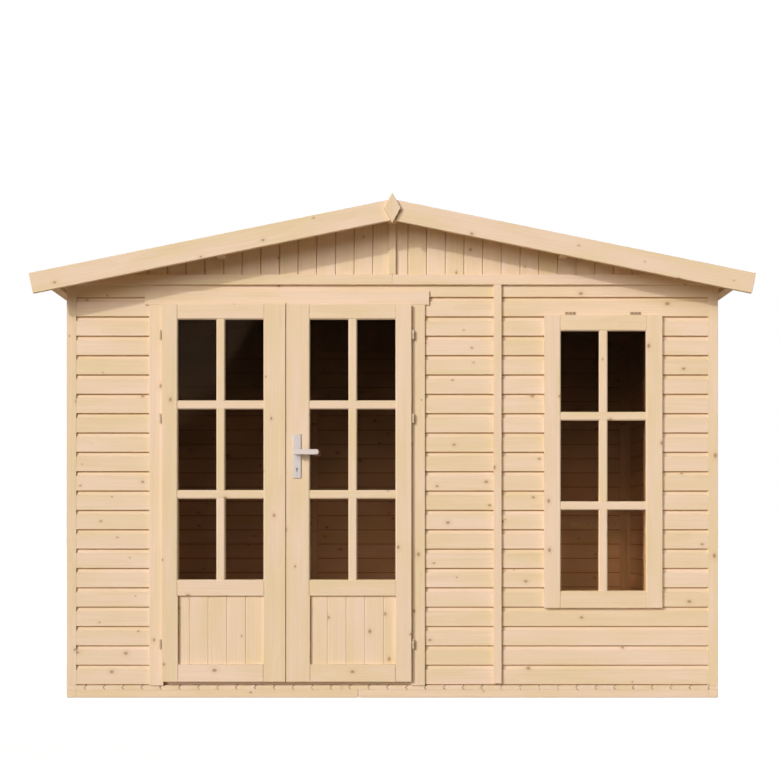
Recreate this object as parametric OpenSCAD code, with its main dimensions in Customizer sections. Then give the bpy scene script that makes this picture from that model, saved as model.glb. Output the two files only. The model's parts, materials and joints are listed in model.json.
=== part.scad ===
// Wooden garden shed with a shallow gable roof, a glazed double door and a glazed side light.
// The front faces -Y, the origin is the middle of the footprint on the ground, +Z is up.

/* [Body] */
// Width of the body across the front wall
body_w = 2960; // [2720:10:3600]
// Depth of the body from the front wall to the back wall
body_d = 1960; // [1500:10:2600]
// Height of the side walls above the floor
eaves_h = 1838; // [1838:1:2400]
// Slope of the roof in degrees
roof_pitch = 11.5; // [9:0.5:16]

/* [Base] */
// Height of the bearers and joists under the floor
bearer_h = 36; // [30:1:80]
// Width of the bearers and joists
bearer_w = 44; // [36:1:80]
// Thickness of the floor boards
floor_t = 20; // [16:1:32]
// Number of joists under the floor, an odd number so that one lies in the middle
joist_n = 5; // [3:2:9]
// Distance of the joint in each joist from the middle, to the left
joist_joint = 154; // [60:1:400]

/* [Walls] */
// Thickness of the wall boards
skin_t = 16; // [12:1:28]
// Width of the corner boards
corner_w = 44; // [41:1:80]
// Width of the battens that frame each wall
batten_w = 36; // [30:1:38]
// Thickness of the battens that frame each wall
batten_t = 24; // [18:1:40]
// Distance of the wall panels' joint from its corner
panel_w = 1002.5; // [950:0.5:1100]
// Gap between two wall panels at their joint
panel_gap = 2; // [1:0.5:6]
// Width of the strips that cover the panels' joints
strip_w = 36; // [24:1:60]
// Thickness of the cover strips and of the gable rail
strip_t = 16; // [10:1:24]
// Height of the gable rail
rail_h = 46; // [30:1:70]
// Depth of the gable rail's lower edge below the eaves
rail_drop = 20; // [6:1:30]
// Width of the strip up the middle of each gable
gable_strip_w = 32; // [20:1:45]

/* [Roof] */
// Distance from a gable wall to the outer face of its bargeboards
overhang = 160; // [80:5:300]
// Distance from a side wall to the edge of the roof deck
eave_reach = 85; // [60:1:200]
// Thickness of the roof deck boards
deck_t = 16; // [12:1:24]
// Thickness of the layer of shingles
shingle_t = 6.5; // [4:0.5:9]
// Distance that the shingles reach past the edge of the deck
shingle_reach = 20; // [5:1:30]
// Thickness of the ridge caps
cap_t = 3; // [2:0.5:3]
// Width of the ridge caps on each slope
cap_w = 125; // [80:1:200]
// Clearance between the sloping layers of the roof
slope_fit = 0.1; // [0.05:0.05:0.5]
// Width of the ridge beam and the purlins
beam_w = 36; // [36:1:70]
// Height of the ridge beam and the purlins at their middle
beam_h = 47; // [40:1:110]
// Distance of the purlins from the ridge
purlin_x = 770; // [600:5:850]
// Width of the lath under the edge of the deck
lath_w = 40; // [25:1:50]
// Thickness of that lath
lath_t = 16; // [10:1:24]
// Width of the bargeboards
barge_w = 90; // [80:1:140]
// Thickness of the bargeboards and the ridge diamonds
barge_t = 19; // [14:1:28]
// Height of the bargeboards' upper edge above the deck
barge_rise = 10; // [10:1:30]
// Distance that a bargeboard reaches past the edge of the deck, along the slope
barge_reach = 35; // [32:1:70]
// Width of a ridge diamond
diamond_w = 73; // [50:1:120]
// Height of a ridge diamond
diamond_h = 134; // [90:1:180]
// Distance of a ridge diamond's middle below the bargeboards' peak
diamond_drop = 43; // [20:1:60]

/* [Door frame] */
// Distance of the door's middle from the left corner
door_from_corner = 1002.5; // [950:0.5:1100]
// Width of each jamb
jamb_w = 65; // [45:1:90]
// Distance that the frame stands out from the wall
frame_proud = 10; // [6:1:20]
// Clear height of the doorway above the floor
doorway_h = 1728; // [1500:1:1740]
// Height of the head board
head_h = 62; // [40:1:70]
// Distance that the head board reaches past each jamb
head_reach = 19; // [0:1:60]
// Height of the threshold
threshold_h = 15; // [8:1:30]

/* [Door leaves] */
// Width of the glass seen in each leaf
leaf_light_w = 387; // [300:1:440]
// Width of each hinge stile
hinge_stile_w = 72; // [50:1:110]
// Width of the left leaf's meeting stile
left_stile_w = 98; // [60:1:120]
// Width of the right leaf's meeting stile
right_stile_w = 106; // [80:1:120]
// Height of the top rail
top_rail_h = 67; // [50:1:110]
// Height of the middle rail
mid_rail_h = 72; // [50:1:110]
// Height of the bottom rail
low_rail_h = 78; // [50:1:140]
// Height of the panel seen between the two lower rails
panel_h = 311; // [150:1:600]
// Thickness of the leaf's outer layer, which laps over the jambs
lip_t = 16; // [12:1:24]
// Thickness of the leaf's inner layer, which stands in the doorway
core_t = 24; // [16:1:36]
// Distance that the outer layer laps over each jamb
lip_lap = 3; // [2:1:12]
// Step between the edges of the two layers at the hinges and at the top
rebate = 13; // [12:1:30]
// Clearance around a leaf
leaf_gap = 5; // [5:0.5:10]
// Gap between the two leaves
meeting_gap = 6; // [6:0.5:10]
// Thickness of the boards in the lower panel
panel_t = 12; // [8:1:18]
// Depth of the lower panel's face behind the leaf's face
panel_inset = 15; // [8:1:18]
// Thickness of all glass
glass_t = 4; // [3:0.5:6]
// Depth of the glass behind the face of its frame
glass_inset = 14; // [6:1:20]
// Depth of the grooves that hold glass and panels
groove = 8; // [5:1:15]
// Clearance of glass and panels in their grooves
groove_fit = 0.5; // [0.2:0.1:0.9]

/* [Hinges and handle] */
// Radius of the hinge barrels
barrel_r = 7.5; // [6:0.5:8]
// Length of a hinge, both knuckles together
hinge_l = 40; // [30:1:80]
// Radius of the hinge pins
pin_r = 3.5; // [2.5:0.1:4.5]
// Clearance between a pin and its knuckle, and between two knuckles
pin_fit = 0.3; // [0.1:0.1:0.5]
// Distance of the hinge axis from the edge of its leaf
axis_out = 8.5; // [8:0.5:12]
// Heights of the hinges above the lower end of the leaf
hinge_at = [169, 1191, 1570];
// Radius of the spindle through the door
spindle_r = 5; // [4:0.5:8]
// Radius of the lever's neck
neck_r = 9; // [7:0.5:11]
// Clearance around the neck and the spindle
spindle_fit = 0.5; // [0.3:0.1:1.5]
// Height of the spindle above the lower end of the leaf
spindle_at = 1036; // [900:1:1100]
// Distance of the spindle from the leaf's meeting edge
spindle_in = 48; // [30:1:60]
// Width of the handle plates
plate_w = 36; // [28:1:60]
// Height of the handle plates
plate_h = 199; // [140:1:260]
// Thickness of the handle plates
plate_t = 6; // [3:1:10]
// Distance of the spindle above the middle of the plates
plate_drop = 16.5; // [0:0.5:60]
// Length of the lever from the spindle
lever_l = 100; // [70:1:130]
// Height of the lever
lever_h = 22; // [14:1:28]
// Thickness of the lever
lever_t = 12; // [8:1:20]
// Distance of the lever's outer face from the leaf
lever_out = 53; // [40:1:70]

/* [Window] */
// Width of the sash
sash_w = 534; // [400:1:640]
// Height of the sash
sash_h = 1327; // [900:1:1380]
// Height of the sash's lower edge above the floor
sash_at = 353; // [200:1:380]
// Width of the sash's stiles
sash_stile_w = 74; // [66:1:100]
// Height of the sash's top rail
sash_top_h = 72; // [66:1:100]
// Height of the sash's bottom rail
sash_low_h = 77; // [66:1:120]
// Distance that the sash laps over the wall all round
sash_lap = 48; // [30:1:55]
// Distance that the sash stands out from the wall
sash_proud = 18; // [14:1:30]
// Width of each window hinge
window_hinge_w = 50; // [30:1:80]
// Height of each window hinge
window_hinge_h = 16; // [10:1:24]
// Thickness of each window hinge
window_hinge_t = 8; // [5:1:12]
// Distance of each window hinge from the window's middle
window_hinge_x = 148; // [100:1:180]

/* [Hidden] */
$fn = 48;
e = 1;                                          // how far a cut reaches past the face it opens

spruce = "#e8cda6";
spruce_deep = "#dcb988";
bitumen = "#675a5b";
steel = "#cfc9c7";
clear = "#4a3226";

wall_x = body_w / 2;
wall_y = body_d / 2;
floor_z = bearer_h + floor_t;
eaves_z = floor_z + eaves_h;
in_x = wall_x - skin_t;                         // inner face of a side wall's boards
in_y = wall_y - skin_t;                         // inner face of a front or back wall's boards
skin_x = wall_x - corner_w;                     // edge of the front boards at a corner board
bearer_x = wall_x - bearer_w;                   // inner face of the bearers, where the joists end
frame_x = in_x - batten_t;                      // end of the front and back frames
rail_z = eaves_z - rail_drop;
strip_z = floor_z + 10;

slope_c = cos(roof_pitch);
slope_s = sin(roof_pitch);
slope_t = tan(roof_pitch);
ridge_z = eaves_z + wall_x * slope_t;           // peak of the deck's under side
deck_u = (wall_x + eave_reach) / slope_c;       // length of the deck's under side down the slope
roof_y = wall_y + overhang - barge_t;           // ends of the deck and the beams
barge_top = deck_t + barge_rise;
peak_z = ridge_z + barge_top / slope_c;
ridge_beam_z = ridge_z - beam_h;

door_x = -wall_x + door_from_corner;
leaf_pair_w = left_stile_w + right_stile_w + 2 * (hinge_stile_w + leaf_light_w) + meeting_gap;
doorway_w = leaf_pair_w - 2 * lip_lap;
frame_w = doorway_w + 2 * jamb_w;
doorway_top = floor_z + doorway_h;
jamb_front = wall_y + frame_proud;
jamb_back = in_y - batten_t;
leaf_z = floor_z + threshold_h + leaf_gap;
leaf_top = doorway_top - lip_lap;
leaf_h = leaf_top - leaf_z;
lip_y = jamb_front + leaf_gap;                  // joint of the leaf's two layers
leaf_face = lip_y + lip_t;
leaf_back = lip_y - core_t;
leaf_left_x = door_x - leaf_pair_w / 2;
leaf_right_x = door_x + leaf_pair_w / 2;
left_leaf_w = hinge_stile_w + leaf_light_w + left_stile_w;
right_leaf_w = hinge_stile_w + leaf_light_w + right_stile_w;
light_z = leaf_z + low_rail_h + panel_h + mid_rail_h;
light_h = leaf_top - top_rail_h - light_z;
hinge_y = lip_y + lip_t / 2;
spindle_x = leaf_right_x - right_leaf_w + spindle_in;
spindle_z = leaf_z + spindle_at;

joint_x = wall_x - panel_w;
window_x = (joint_x + skin_x) / 2;
window_z = floor_z + sash_at;
hole_w = sash_w - 2 * sash_lap;
hole_z = window_z + sash_lap;
hole_h = sash_h - 2 * sash_lap;
sash_face = wall_y + sash_proud;

// Height of the deck's under side at a distance x from the ridge.
function under_z(x) = ridge_z - x * slope_t;

// Place along the slope of the upright plane at x, at a height w square to the deck's under side.
function upright_u(x, w) = (x - w * slope_s) / slope_c;

// A box between two corners.
module block(a, b) {
    translate([min(a[0], b[0]), min(a[1], b[1]), min(a[2], b[2])])
        cube([abs(b[0] - a[0]), abs(b[1] - a[1]), abs(b[2] - a[2])]);
}

// The children and their copy on the other side of the middle plane.
module both_sides() {
    children();
    mirror([1, 0, 0]) children();
}

// The children and their copy at the back of the building.
module both_ends() {
    children();
    mirror([0, 1, 0]) children();
}

// An outline in X and Z, drawn out along Y between y0 and y1.
module along_y(y0, y1) {
    translate([0, y1, 0]) rotate([90, 0, 0]) linear_extrude(y1 - y0) children();
}

// A layer on the right slope, from height w0 to w1 above the deck's under side, starting at the
// upright plane at x0 and ending at the length u1, between y0 and y1.
module slope_layer(x0, u1, w0, w1, y0, y1) {
    translate([0, 0, ridge_z]) rotate([0, roof_pitch, 0]) along_y(y0, y1)
        polygon([[upright_u(x0, w0), w0], [u1, w0], [u1, w1], [upright_u(x0, w1), w1]]);
}

// A point of the right slope at the length u and the height w, in X and Z.
function slope_point(u, w) = [u * slope_c + w * slope_s, ridge_z - u * slope_s + w * slope_c];

// The space under the roof deck, for trimming what meets it.
module under_roof(y0, y1) {
    along_y(y0, y1)
        polygon([[-wall_x, 0], [wall_x, 0], [wall_x, eaves_z], [0, ridge_z], [-wall_x, eaves_z]]);
}

// ---- base -----------------------------------------------------------------------------------

module base_bearers() {
    color(spruce_deep) both_sides() block([bearer_x, -wall_y, 0], [wall_x, wall_y, bearer_h]);
}

module base_joists() {
    run = body_d - bearer_w;
    color(spruce_deep) for (i = [0 : joist_n - 1]) {
        y = -run / 2 + run * i / (joist_n - 1);
        block([-bearer_x, y - bearer_w / 2, 0],
            [-joist_joint - panel_gap / 2, y + bearer_w / 2, bearer_h]);
        block([-joist_joint + panel_gap / 2, y - bearer_w / 2, 0],
            [bearer_x, y + bearer_w / 2, bearer_h]);
    }
}

module floor() {
    color(spruce) block([-wall_x, -wall_y, bearer_h], [wall_x, wall_y, floor_z]);
}

// ---- walls ----------------------------------------------------------------------------------

module front_boards(x0, x1, z0, z1) {
    block([x0, -wall_y, z0], [x1, -in_y, z1]);
}

module front_wall_left() {
    color(spruce) front_boards(-skin_x, door_x - frame_w / 2, floor_z, eaves_z);
}

module front_wall_middle() {
    color(spruce) front_boards(door_x + frame_w / 2, joint_x - panel_gap / 2, floor_z, eaves_z);
}

module front_wall_window() {
    color(spruce) difference() {
        front_boards(joint_x + panel_gap / 2, skin_x, floor_z, eaves_z);
        block([window_x - hole_w / 2, -wall_y - e, hole_z],
            [window_x + hole_w / 2, -in_y + e, hole_z + hole_h]);
    }
}

module front_wall_over_door() {
    color(spruce) front_boards(door_x - frame_w / 2, door_x + frame_w / 2,
        doorway_top + head_h, eaves_z);
}

module back_wall() {
    color(spruce) {
        block([-skin_x, in_y, floor_z], [-joint_x - panel_gap / 2, wall_y, eaves_z]);
        block([-joint_x + panel_gap / 2, in_y, floor_z], [skin_x, wall_y, eaves_z]);
    }
}

module right_wall() {
    color(spruce) along_y(-in_y, in_y)
        polygon([[in_x, floor_z], [wall_x, floor_z], [wall_x, eaves_z], [in_x, under_z(in_x)]]);
}

module left_wall() {
    mirror([1, 0, 0]) right_wall();
}

module corner_boards() {
    color(spruce_deep) both_ends() both_sides()
        block([skin_x, -wall_y, floor_z], [wall_x, -in_y, eaves_z]);
}

// Strips over the joints of the wall panels, and up the middle of each gable.
module cover_strips() {
    color(spruce_deep) {
        block([joint_x - strip_w / 2, -wall_y - strip_t, strip_z],
            [joint_x + strip_w / 2, -wall_y, rail_z]);
        block([-joint_x - strip_w / 2, wall_y, strip_z],
            [-joint_x + strip_w / 2, wall_y + strip_t, rail_z]);
        both_ends() block([-gable_strip_w / 2, -wall_y - strip_t, rail_z + rail_h],
            [gable_strip_w / 2, -wall_y, ridge_beam_z]);
    }
}

// An upright batten of the front frame, whose left edge is at x.
module front_post(x) {
    block([x, -in_y, floor_z + batten_w], [x + batten_w, -in_y + batten_t, eaves_z - batten_w]);
}

module front_back_posts() {
    color(spruce_deep) {
        both_ends() both_sides() front_post(frame_x - batten_w);
        front_post(door_x - frame_w / 2 - batten_w);
        front_post(door_x + frame_w / 2);
        front_post(joint_x - batten_w / 2);
        front_post(window_x - hole_w / 2 - batten_w);
        front_post(window_x + hole_w / 2);
        mirror([0, 1, 0]) front_post(-joint_x - batten_w / 2);
    }
}

module side_posts() {
    color(spruce_deep) both_sides() for (y = [-in_y, -batten_w / 2, in_y - batten_w])
        block([frame_x, y, floor_z + batten_w], [in_x, y + batten_w, eaves_z - batten_w]);
}

module front_back_plates() {
    color(spruce_deep) {
        both_ends() block([-frame_x, -in_y, eaves_z - batten_w], [frame_x, -in_y + batten_t, eaves_z]);
        block([-frame_x, -in_y, floor_z],
            [door_x - frame_w / 2, -in_y + batten_t, floor_z + batten_w]);
        block([door_x + frame_w / 2, -in_y, floor_z], [frame_x, -in_y + batten_t, floor_z + batten_w]);
        block([-frame_x, in_y - batten_t, floor_z], [frame_x, in_y, floor_z + batten_w]);
    }
}

module side_plates() {
    color(spruce_deep) both_sides() {
        block([frame_x, -in_y, floor_z], [in_x, in_y, floor_z + batten_w]);
        block([frame_x, -in_y, eaves_z - batten_w], [in_x, in_y, eaves_z]);
    }
}

// ---- gables ---------------------------------------------------------------------------------

module beam(x) {
    y = roof_y + e;
    block([x - beam_w / 2, -y, under_z(abs(x)) - beam_h], [x + beam_w / 2, y, ridge_z]);
}

module gables() {
    color(spruce) both_ends() both_sides() difference() {
        along_y(-wall_y, -in_y) polygon([[panel_gap / 2, eaves_z], [wall_x, eaves_z],
            [panel_gap / 2, under_z(panel_gap / 2)]]);
        beam(0);
        beam(purlin_x);
    }
}

module gable_rails() {
    color(spruce_deep) both_ends() both_sides() intersection() {
        block([panel_gap / 2, -wall_y - strip_t, rail_z], [wall_x, -wall_y, rail_z + rail_h]);
        under_roof(-wall_y - strip_t - e, -wall_y + e);
    }
}

// ---- roof -----------------------------------------------------------------------------------

module ridge_beam() {
    color(spruce_deep) intersection() {
        beam(0);
        under_roof(-roof_y, roof_y);
    }
}

module purlins() {
    color(spruce_deep) both_sides() intersection() {
        beam(purlin_x);
        under_roof(-roof_y, roof_y);
    }
}

module eave_laths() {
    color(spruce_deep) both_sides()
        slope_layer((deck_u - lath_w) * slope_c, deck_u, -lath_t, 0, -roof_y, roof_y);
}

module roof_deck_right() {
    color(spruce) slope_layer(0, deck_u, slope_fit, deck_t, -roof_y, roof_y);
}

module roof_deck_left() {
    mirror([1, 0, 0]) roof_deck_right();
}

module shingles_right() {
    color(bitumen) slope_layer(0, deck_u + shingle_reach, deck_t + slope_fit, deck_t + shingle_t,
        -roof_y, roof_y);
}

module shingles_left() {
    mirror([1, 0, 0]) shingles_right();
}

module ridge_caps() {
    low = deck_t + shingle_t + slope_fit;
    top = deck_t + shingle_t + cap_t;
    right = [slope_point(upright_u(0, low), low), slope_point(cap_w, low), slope_point(cap_w, top),
        slope_point(upright_u(0, top), top)];
    left = [for (i = [2, 1]) [-right[i][0], right[i][1]]];
    color(bitumen) along_y(-roof_y, roof_y) polygon(concat(right, left));
}

module bargeboards() {
    color(spruce) both_ends() both_sides()
        slope_layer(panel_gap / 2, deck_u + barge_reach, barge_top - barge_w, barge_top,
            -wall_y - overhang, -roof_y);
}

module ridge_diamonds() {
    mid_z = peak_z - diamond_drop;
    color(spruce) both_ends() along_y(-wall_y - overhang - barge_t, -wall_y - overhang)
        polygon([[0, mid_z - diamond_h / 2], [diamond_w / 2, mid_z], [0, mid_z + diamond_h / 2],
            [-diamond_w / 2, mid_z]]);
}

// ---- door frame -----------------------------------------------------------------------------

module door_jambs() {
    color(spruce_deep) for (x = [door_x - frame_w / 2, door_x + doorway_w / 2])
        block([x, -jamb_front, floor_z], [x + jamb_w, -jamb_back, doorway_top]);
}

module door_head() {
    reach = frame_w / 2 + head_reach;
    color(spruce_deep) {
        block([door_x - reach, -jamb_front, doorway_top],
            [door_x + reach, -wall_y, doorway_top + head_h]);
        block([door_x - frame_w / 2, -wall_y, doorway_top],
            [door_x + frame_w / 2, -jamb_back, doorway_top + head_h]);
    }
}

module door_threshold() {
    color(spruce_deep) block([door_x - doorway_w / 2, -jamb_front, floor_z],
        [door_x + doorway_w / 2, -jamb_back, floor_z + threshold_h]);
}

// ---- door leaves ----------------------------------------------------------------------------
// A leaf is drawn as the left one, with its hinge edge at x = 0 and its meeting edge at x = w.

// Puts a leaf drawn from its hinge edge on the left or the right side of the doorway.
module left_leaf() {
    translate([leaf_left_x, 0, 0]) children();
}

module right_leaf() {
    translate([leaf_right_x, 0, 0]) mirror([1, 0, 0]) children();
}

// A sheet that reaches past a leaf's opening by grow all round and is side_fit larger on each face.
module leaf_sheet(z, h, inset, t, grow, side_fit) {
    block([hinge_stile_w - grow, -leaf_face + inset - side_fit, z - grow],
        [hinge_stile_w + leaf_light_w + grow, -leaf_face + inset + t + side_fit, z + h + grow]);
}

module leaf_glass(grow, side_fit) {
    leaf_sheet(light_z, light_h, glass_inset, glass_t, grow, side_fit);
}

module leaf_panel(grow, side_fit) {
    leaf_sheet(leaf_z + low_rail_h, panel_h, panel_inset, panel_t, grow, side_fit);
}

module grooves() {
    leaf_glass(groove, groove_fit);
    leaf_panel(groove, groove_fit);
}

module leaf_stiles(w) {
    meet_x = hinge_stile_w + leaf_light_w;
    difference() {
        union() {
            block([0, -leaf_face, leaf_z], [hinge_stile_w, -lip_y, leaf_top]);
            block([rebate, -lip_y, leaf_z], [hinge_stile_w, -leaf_back, leaf_top - rebate]);
            block([meet_x, -leaf_face, leaf_z], [w, -lip_y, leaf_top]);
            block([meet_x, -lip_y, leaf_z], [w, -leaf_back, leaf_top - rebate]);
        }
        grooves();
    }
}

module leaf_rails() {
    x1 = hinge_stile_w + leaf_light_w;
    mid_z = leaf_z + low_rail_h + panel_h;
    difference() {
        union() {
            block([hinge_stile_w, -leaf_face, leaf_z], [x1, -leaf_back, leaf_z + low_rail_h]);
            block([hinge_stile_w, -leaf_face, mid_z], [x1, -leaf_back, mid_z + mid_rail_h]);
            block([hinge_stile_w, -leaf_face, leaf_top - top_rail_h], [x1, -lip_y, leaf_top]);
            block([hinge_stile_w, -lip_y, leaf_top - top_rail_h],
                [x1, -leaf_back, leaf_top - rebate]);
        }
        grooves();
    }
}

module left_door_stiles() {
    color(spruce) left_leaf() leaf_stiles(left_leaf_w);
}

module left_door_rails() {
    color(spruce) left_leaf() leaf_rails();
}

module left_door_panel() {
    color(spruce) left_leaf() leaf_panel(groove - groove_fit, 0);
}

module left_door_glass() {
    color(clear) left_leaf() leaf_glass(groove - groove_fit, 0);
}

module right_door_stiles() {
    color(spruce) difference() {
        right_leaf() leaf_stiles(right_leaf_w);
        translate([spindle_x, -leaf_back + e, spindle_z]) rotate([90, 0, 0])
            cylinder(r = spindle_r + spindle_fit, h = leaf_face - leaf_back + 2 * e);
    }
}

module right_door_rails() {
    color(spruce) right_leaf() leaf_rails();
}

module right_door_panel() {
    color(spruce) right_leaf() leaf_panel(groove - groove_fit, 0);
}

module right_door_glass() {
    color(clear) right_leaf() leaf_glass(groove - groove_fit, 0);
}

// ---- hinges and handle ----------------------------------------------------------------------

// The upper knuckle of each hinge, which turns with the leaf, with its arm into the leaf's edge.
module leaf_knuckles() {
    knuckle_h = hinge_l / 2 - pin_fit;
    for (z = hinge_at) translate([-axis_out, -hinge_y, leaf_z + z + pin_fit]) difference() {
        union() {
            cylinder(r = barrel_r, h = knuckle_h);
            translate([0, 0, knuckle_h / 2]) rotate([0, 90, 0]) cylinder(r = pin_r, h = axis_out);
        }
        translate([0, 0, -e]) cylinder(r = pin_r + pin_fit, h = knuckle_h - 2 + e);
    }
}

// The lower knuckle of each hinge, with its pin and its arm into the jamb.
module jamb_knuckles() {
    knuckle_h = hinge_l / 2;
    for (z = hinge_at) translate([-axis_out, -hinge_y, leaf_z + z - knuckle_h]) {
        cylinder(r = barrel_r, h = knuckle_h);
        cylinder(r = pin_r, h = hinge_l - 3);
        translate([0, 0, knuckle_h / 2]) rotate([-90, 0, 0])
            cylinder(r = pin_r, h = hinge_y - jamb_front);
    }
}

module left_door_hinges() {
    color(steel) left_leaf() leaf_knuckles();
}

module right_door_hinges() {
    color(steel) right_leaf() leaf_knuckles();
}

module jamb_hinges() {
    color(steel) {
        left_leaf() jamb_knuckles();
        right_leaf() jamb_knuckles();
    }
}

// A plate on each face of the right leaf, around the lever's neck.
module handle_plates() {
    z = spindle_z - plate_drop;
    color(steel) difference() {
        for (y = [[-leaf_face - plate_t, -leaf_face], [-leaf_back, -leaf_back + plate_t]])
            block([spindle_x - plate_w / 2, y[0], z - plate_h / 2],
                [spindle_x + plate_w / 2, y[1], z + plate_h / 2]);
        translate([spindle_x, -leaf_back + plate_t + e, spindle_z]) rotate([90, 0, 0])
            cylinder(r = neck_r + spindle_fit, h = leaf_face - leaf_back + 2 * (plate_t + e));
    }
}

// The outer and the inner lever on one spindle.
module door_lever() {
    arm_y = leaf_face + lever_out;
    inner_y = leaf_back - lever_out;
    color(steel) translate([spindle_x, 0, spindle_z]) {
        along_y(-arm_y, -arm_y + lever_t) lever_outline();
        along_y(-inner_y - lever_t, -inner_y) lever_outline();
        along_y(-arm_y, -leaf_face - spindle_fit) circle(r = neck_r);
        along_y(-leaf_back + spindle_fit, -inner_y) circle(r = neck_r);
        along_y(-arm_y, -inner_y) circle(r = spindle_r);
    }
}

module lever_outline() {
    circle(r = lever_h / 2 + 1);
    translate([0, -lever_h / 2]) square([lever_l - lever_h / 2, lever_h]);
    translate([lever_l - lever_h / 2, 0]) circle(r = lever_h / 2);
}

// ---- window ---------------------------------------------------------------------------------

module window_groove() {
    block([window_x - sash_w / 2 + sash_stile_w - groove, -sash_face + glass_inset - groove_fit,
            window_z + sash_low_h - groove],
        [window_x + sash_w / 2 - sash_stile_w + groove, -sash_face + glass_inset + glass_t
            + groove_fit, window_z + sash_h - sash_top_h + groove]);
}

module window_stiles() {
    color(spruce) translate([window_x, 0, 0]) both_sides() translate([-window_x, 0, 0])
        difference() {
            union() {
                block([window_x - sash_w / 2, -sash_face, window_z],
                    [window_x - sash_w / 2 + sash_stile_w, -wall_y, window_z + sash_h]);
                block([window_x - hole_w / 2, -wall_y, hole_z],
                    [window_x - sash_w / 2 + sash_stile_w, -jamb_back, hole_z + hole_h]);
            }
            window_groove();
        }
}

module window_rails() {
    x = sash_w / 2 - sash_stile_w;
    low_z = window_z + sash_low_h;
    top_z = window_z + sash_h - sash_top_h;
    color(spruce) difference() {
        union() {
            block([window_x - x, -sash_face, window_z], [window_x + x, -wall_y, low_z]);
            block([window_x - x, -wall_y, hole_z], [window_x + x, -jamb_back, low_z]);
            block([window_x - x, -sash_face, top_z], [window_x + x, -wall_y, window_z + sash_h]);
            block([window_x - x, -wall_y, top_z], [window_x + x, -jamb_back, hole_z + hole_h]);
        }
        window_groove();
    }
}

module window_glass() {
    grow = groove - groove_fit;
    x = sash_w / 2 - sash_stile_w + grow;
    color(clear) block([window_x - x, -sash_face + glass_inset, window_z + sash_low_h - grow],
        [window_x + x, -sash_face + glass_inset + glass_t, window_z + sash_h - sash_top_h + grow]);
}

module window_hinges() {
    z = window_z + sash_h;
    color(steel) for (side = [-1, 1]) {
        x = window_x + side * window_hinge_x;
        block([x - window_hinge_w / 2, -wall_y - window_hinge_t, z],
            [x + window_hinge_w / 2, -wall_y, z + window_hinge_h]);
    }
}

base_bearers();
base_joists();
floor();
front_wall_left();
front_wall_middle();
front_wall_window();
front_wall_over_door();
back_wall();
left_wall();
right_wall();
corner_boards();
cover_strips();
front_back_posts();
side_posts();
front_back_plates();
side_plates();
gables();
gable_rails();
ridge_beam();
purlins();
eave_laths();
roof_deck_left();
roof_deck_right();
shingles_left();
shingles_right();
ridge_caps();
bargeboards();
ridge_diamonds();
door_jambs();
door_head();
door_threshold();
left_door_stiles();
left_door_rails();
left_door_panel();
left_door_glass();
left_door_hinges();
right_door_stiles();
right_door_rails();
right_door_panel();
right_door_glass();
right_door_hinges();
jamb_hinges();
handle_plates();
door_lever();
window_stiles();
window_rails();
window_glass();
window_hinges();
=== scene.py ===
"""The finish of a wooden garden shed: boards, trim, doors, window, shingled roof and fittings.

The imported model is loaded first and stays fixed. Each operator then models one group of pieces in the
places of that model's nodes. Lengths are metres, +Z is up and the doors face -Y.
"""

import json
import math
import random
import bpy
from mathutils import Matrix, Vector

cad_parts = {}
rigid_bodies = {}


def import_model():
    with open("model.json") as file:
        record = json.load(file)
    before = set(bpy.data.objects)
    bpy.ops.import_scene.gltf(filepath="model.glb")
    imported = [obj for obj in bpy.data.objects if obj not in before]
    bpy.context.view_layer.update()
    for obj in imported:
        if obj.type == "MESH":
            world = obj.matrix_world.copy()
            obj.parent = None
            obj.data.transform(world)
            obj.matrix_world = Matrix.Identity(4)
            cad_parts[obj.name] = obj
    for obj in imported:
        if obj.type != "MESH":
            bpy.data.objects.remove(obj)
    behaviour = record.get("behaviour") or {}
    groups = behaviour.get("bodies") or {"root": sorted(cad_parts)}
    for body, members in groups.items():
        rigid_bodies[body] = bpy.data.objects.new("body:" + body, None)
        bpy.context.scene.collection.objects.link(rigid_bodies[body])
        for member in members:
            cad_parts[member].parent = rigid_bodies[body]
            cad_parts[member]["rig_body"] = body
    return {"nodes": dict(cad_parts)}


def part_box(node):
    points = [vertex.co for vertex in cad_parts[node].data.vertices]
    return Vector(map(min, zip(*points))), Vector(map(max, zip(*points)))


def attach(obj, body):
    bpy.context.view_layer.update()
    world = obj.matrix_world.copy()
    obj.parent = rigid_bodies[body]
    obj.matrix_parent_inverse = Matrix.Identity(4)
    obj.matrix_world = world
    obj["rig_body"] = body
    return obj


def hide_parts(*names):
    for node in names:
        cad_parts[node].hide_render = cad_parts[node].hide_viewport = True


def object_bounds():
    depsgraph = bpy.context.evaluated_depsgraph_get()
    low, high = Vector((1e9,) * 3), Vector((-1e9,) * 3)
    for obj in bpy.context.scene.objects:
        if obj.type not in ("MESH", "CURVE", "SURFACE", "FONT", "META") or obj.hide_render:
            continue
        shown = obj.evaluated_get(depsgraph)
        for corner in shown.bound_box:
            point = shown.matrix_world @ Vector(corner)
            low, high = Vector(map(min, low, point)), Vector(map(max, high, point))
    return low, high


bl_info = {
    "name": "Garden shed finish",
    "version": (1, 0, 0),
    "blender": (4, 5, 0),
    "location": "View3D > Sidebar > Shed",
    "description": "Boards, doors, window, shingles and fittings of a wooden garden shed",
    "category": "Object",
}

import bmesh
import bpy
from mathutils import Vector

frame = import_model()
CAD_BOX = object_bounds()

X, Y, Z = 0, 1, 2
AXES = (Vector((1, 0, 0)), Vector((0, 1, 0)), Vector((0, 0, 1)))
NEAR = 1e-5  # how close a corner lies to a plane that it is on
SKIN = 0.0003  # running clearance between pieces that are packed side by side
PAST_RIDGE = 0.01  # how far flat pieces run past the ridge before they are sawn off there


# ---------------------------------------------------------------- sizes and colours


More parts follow.
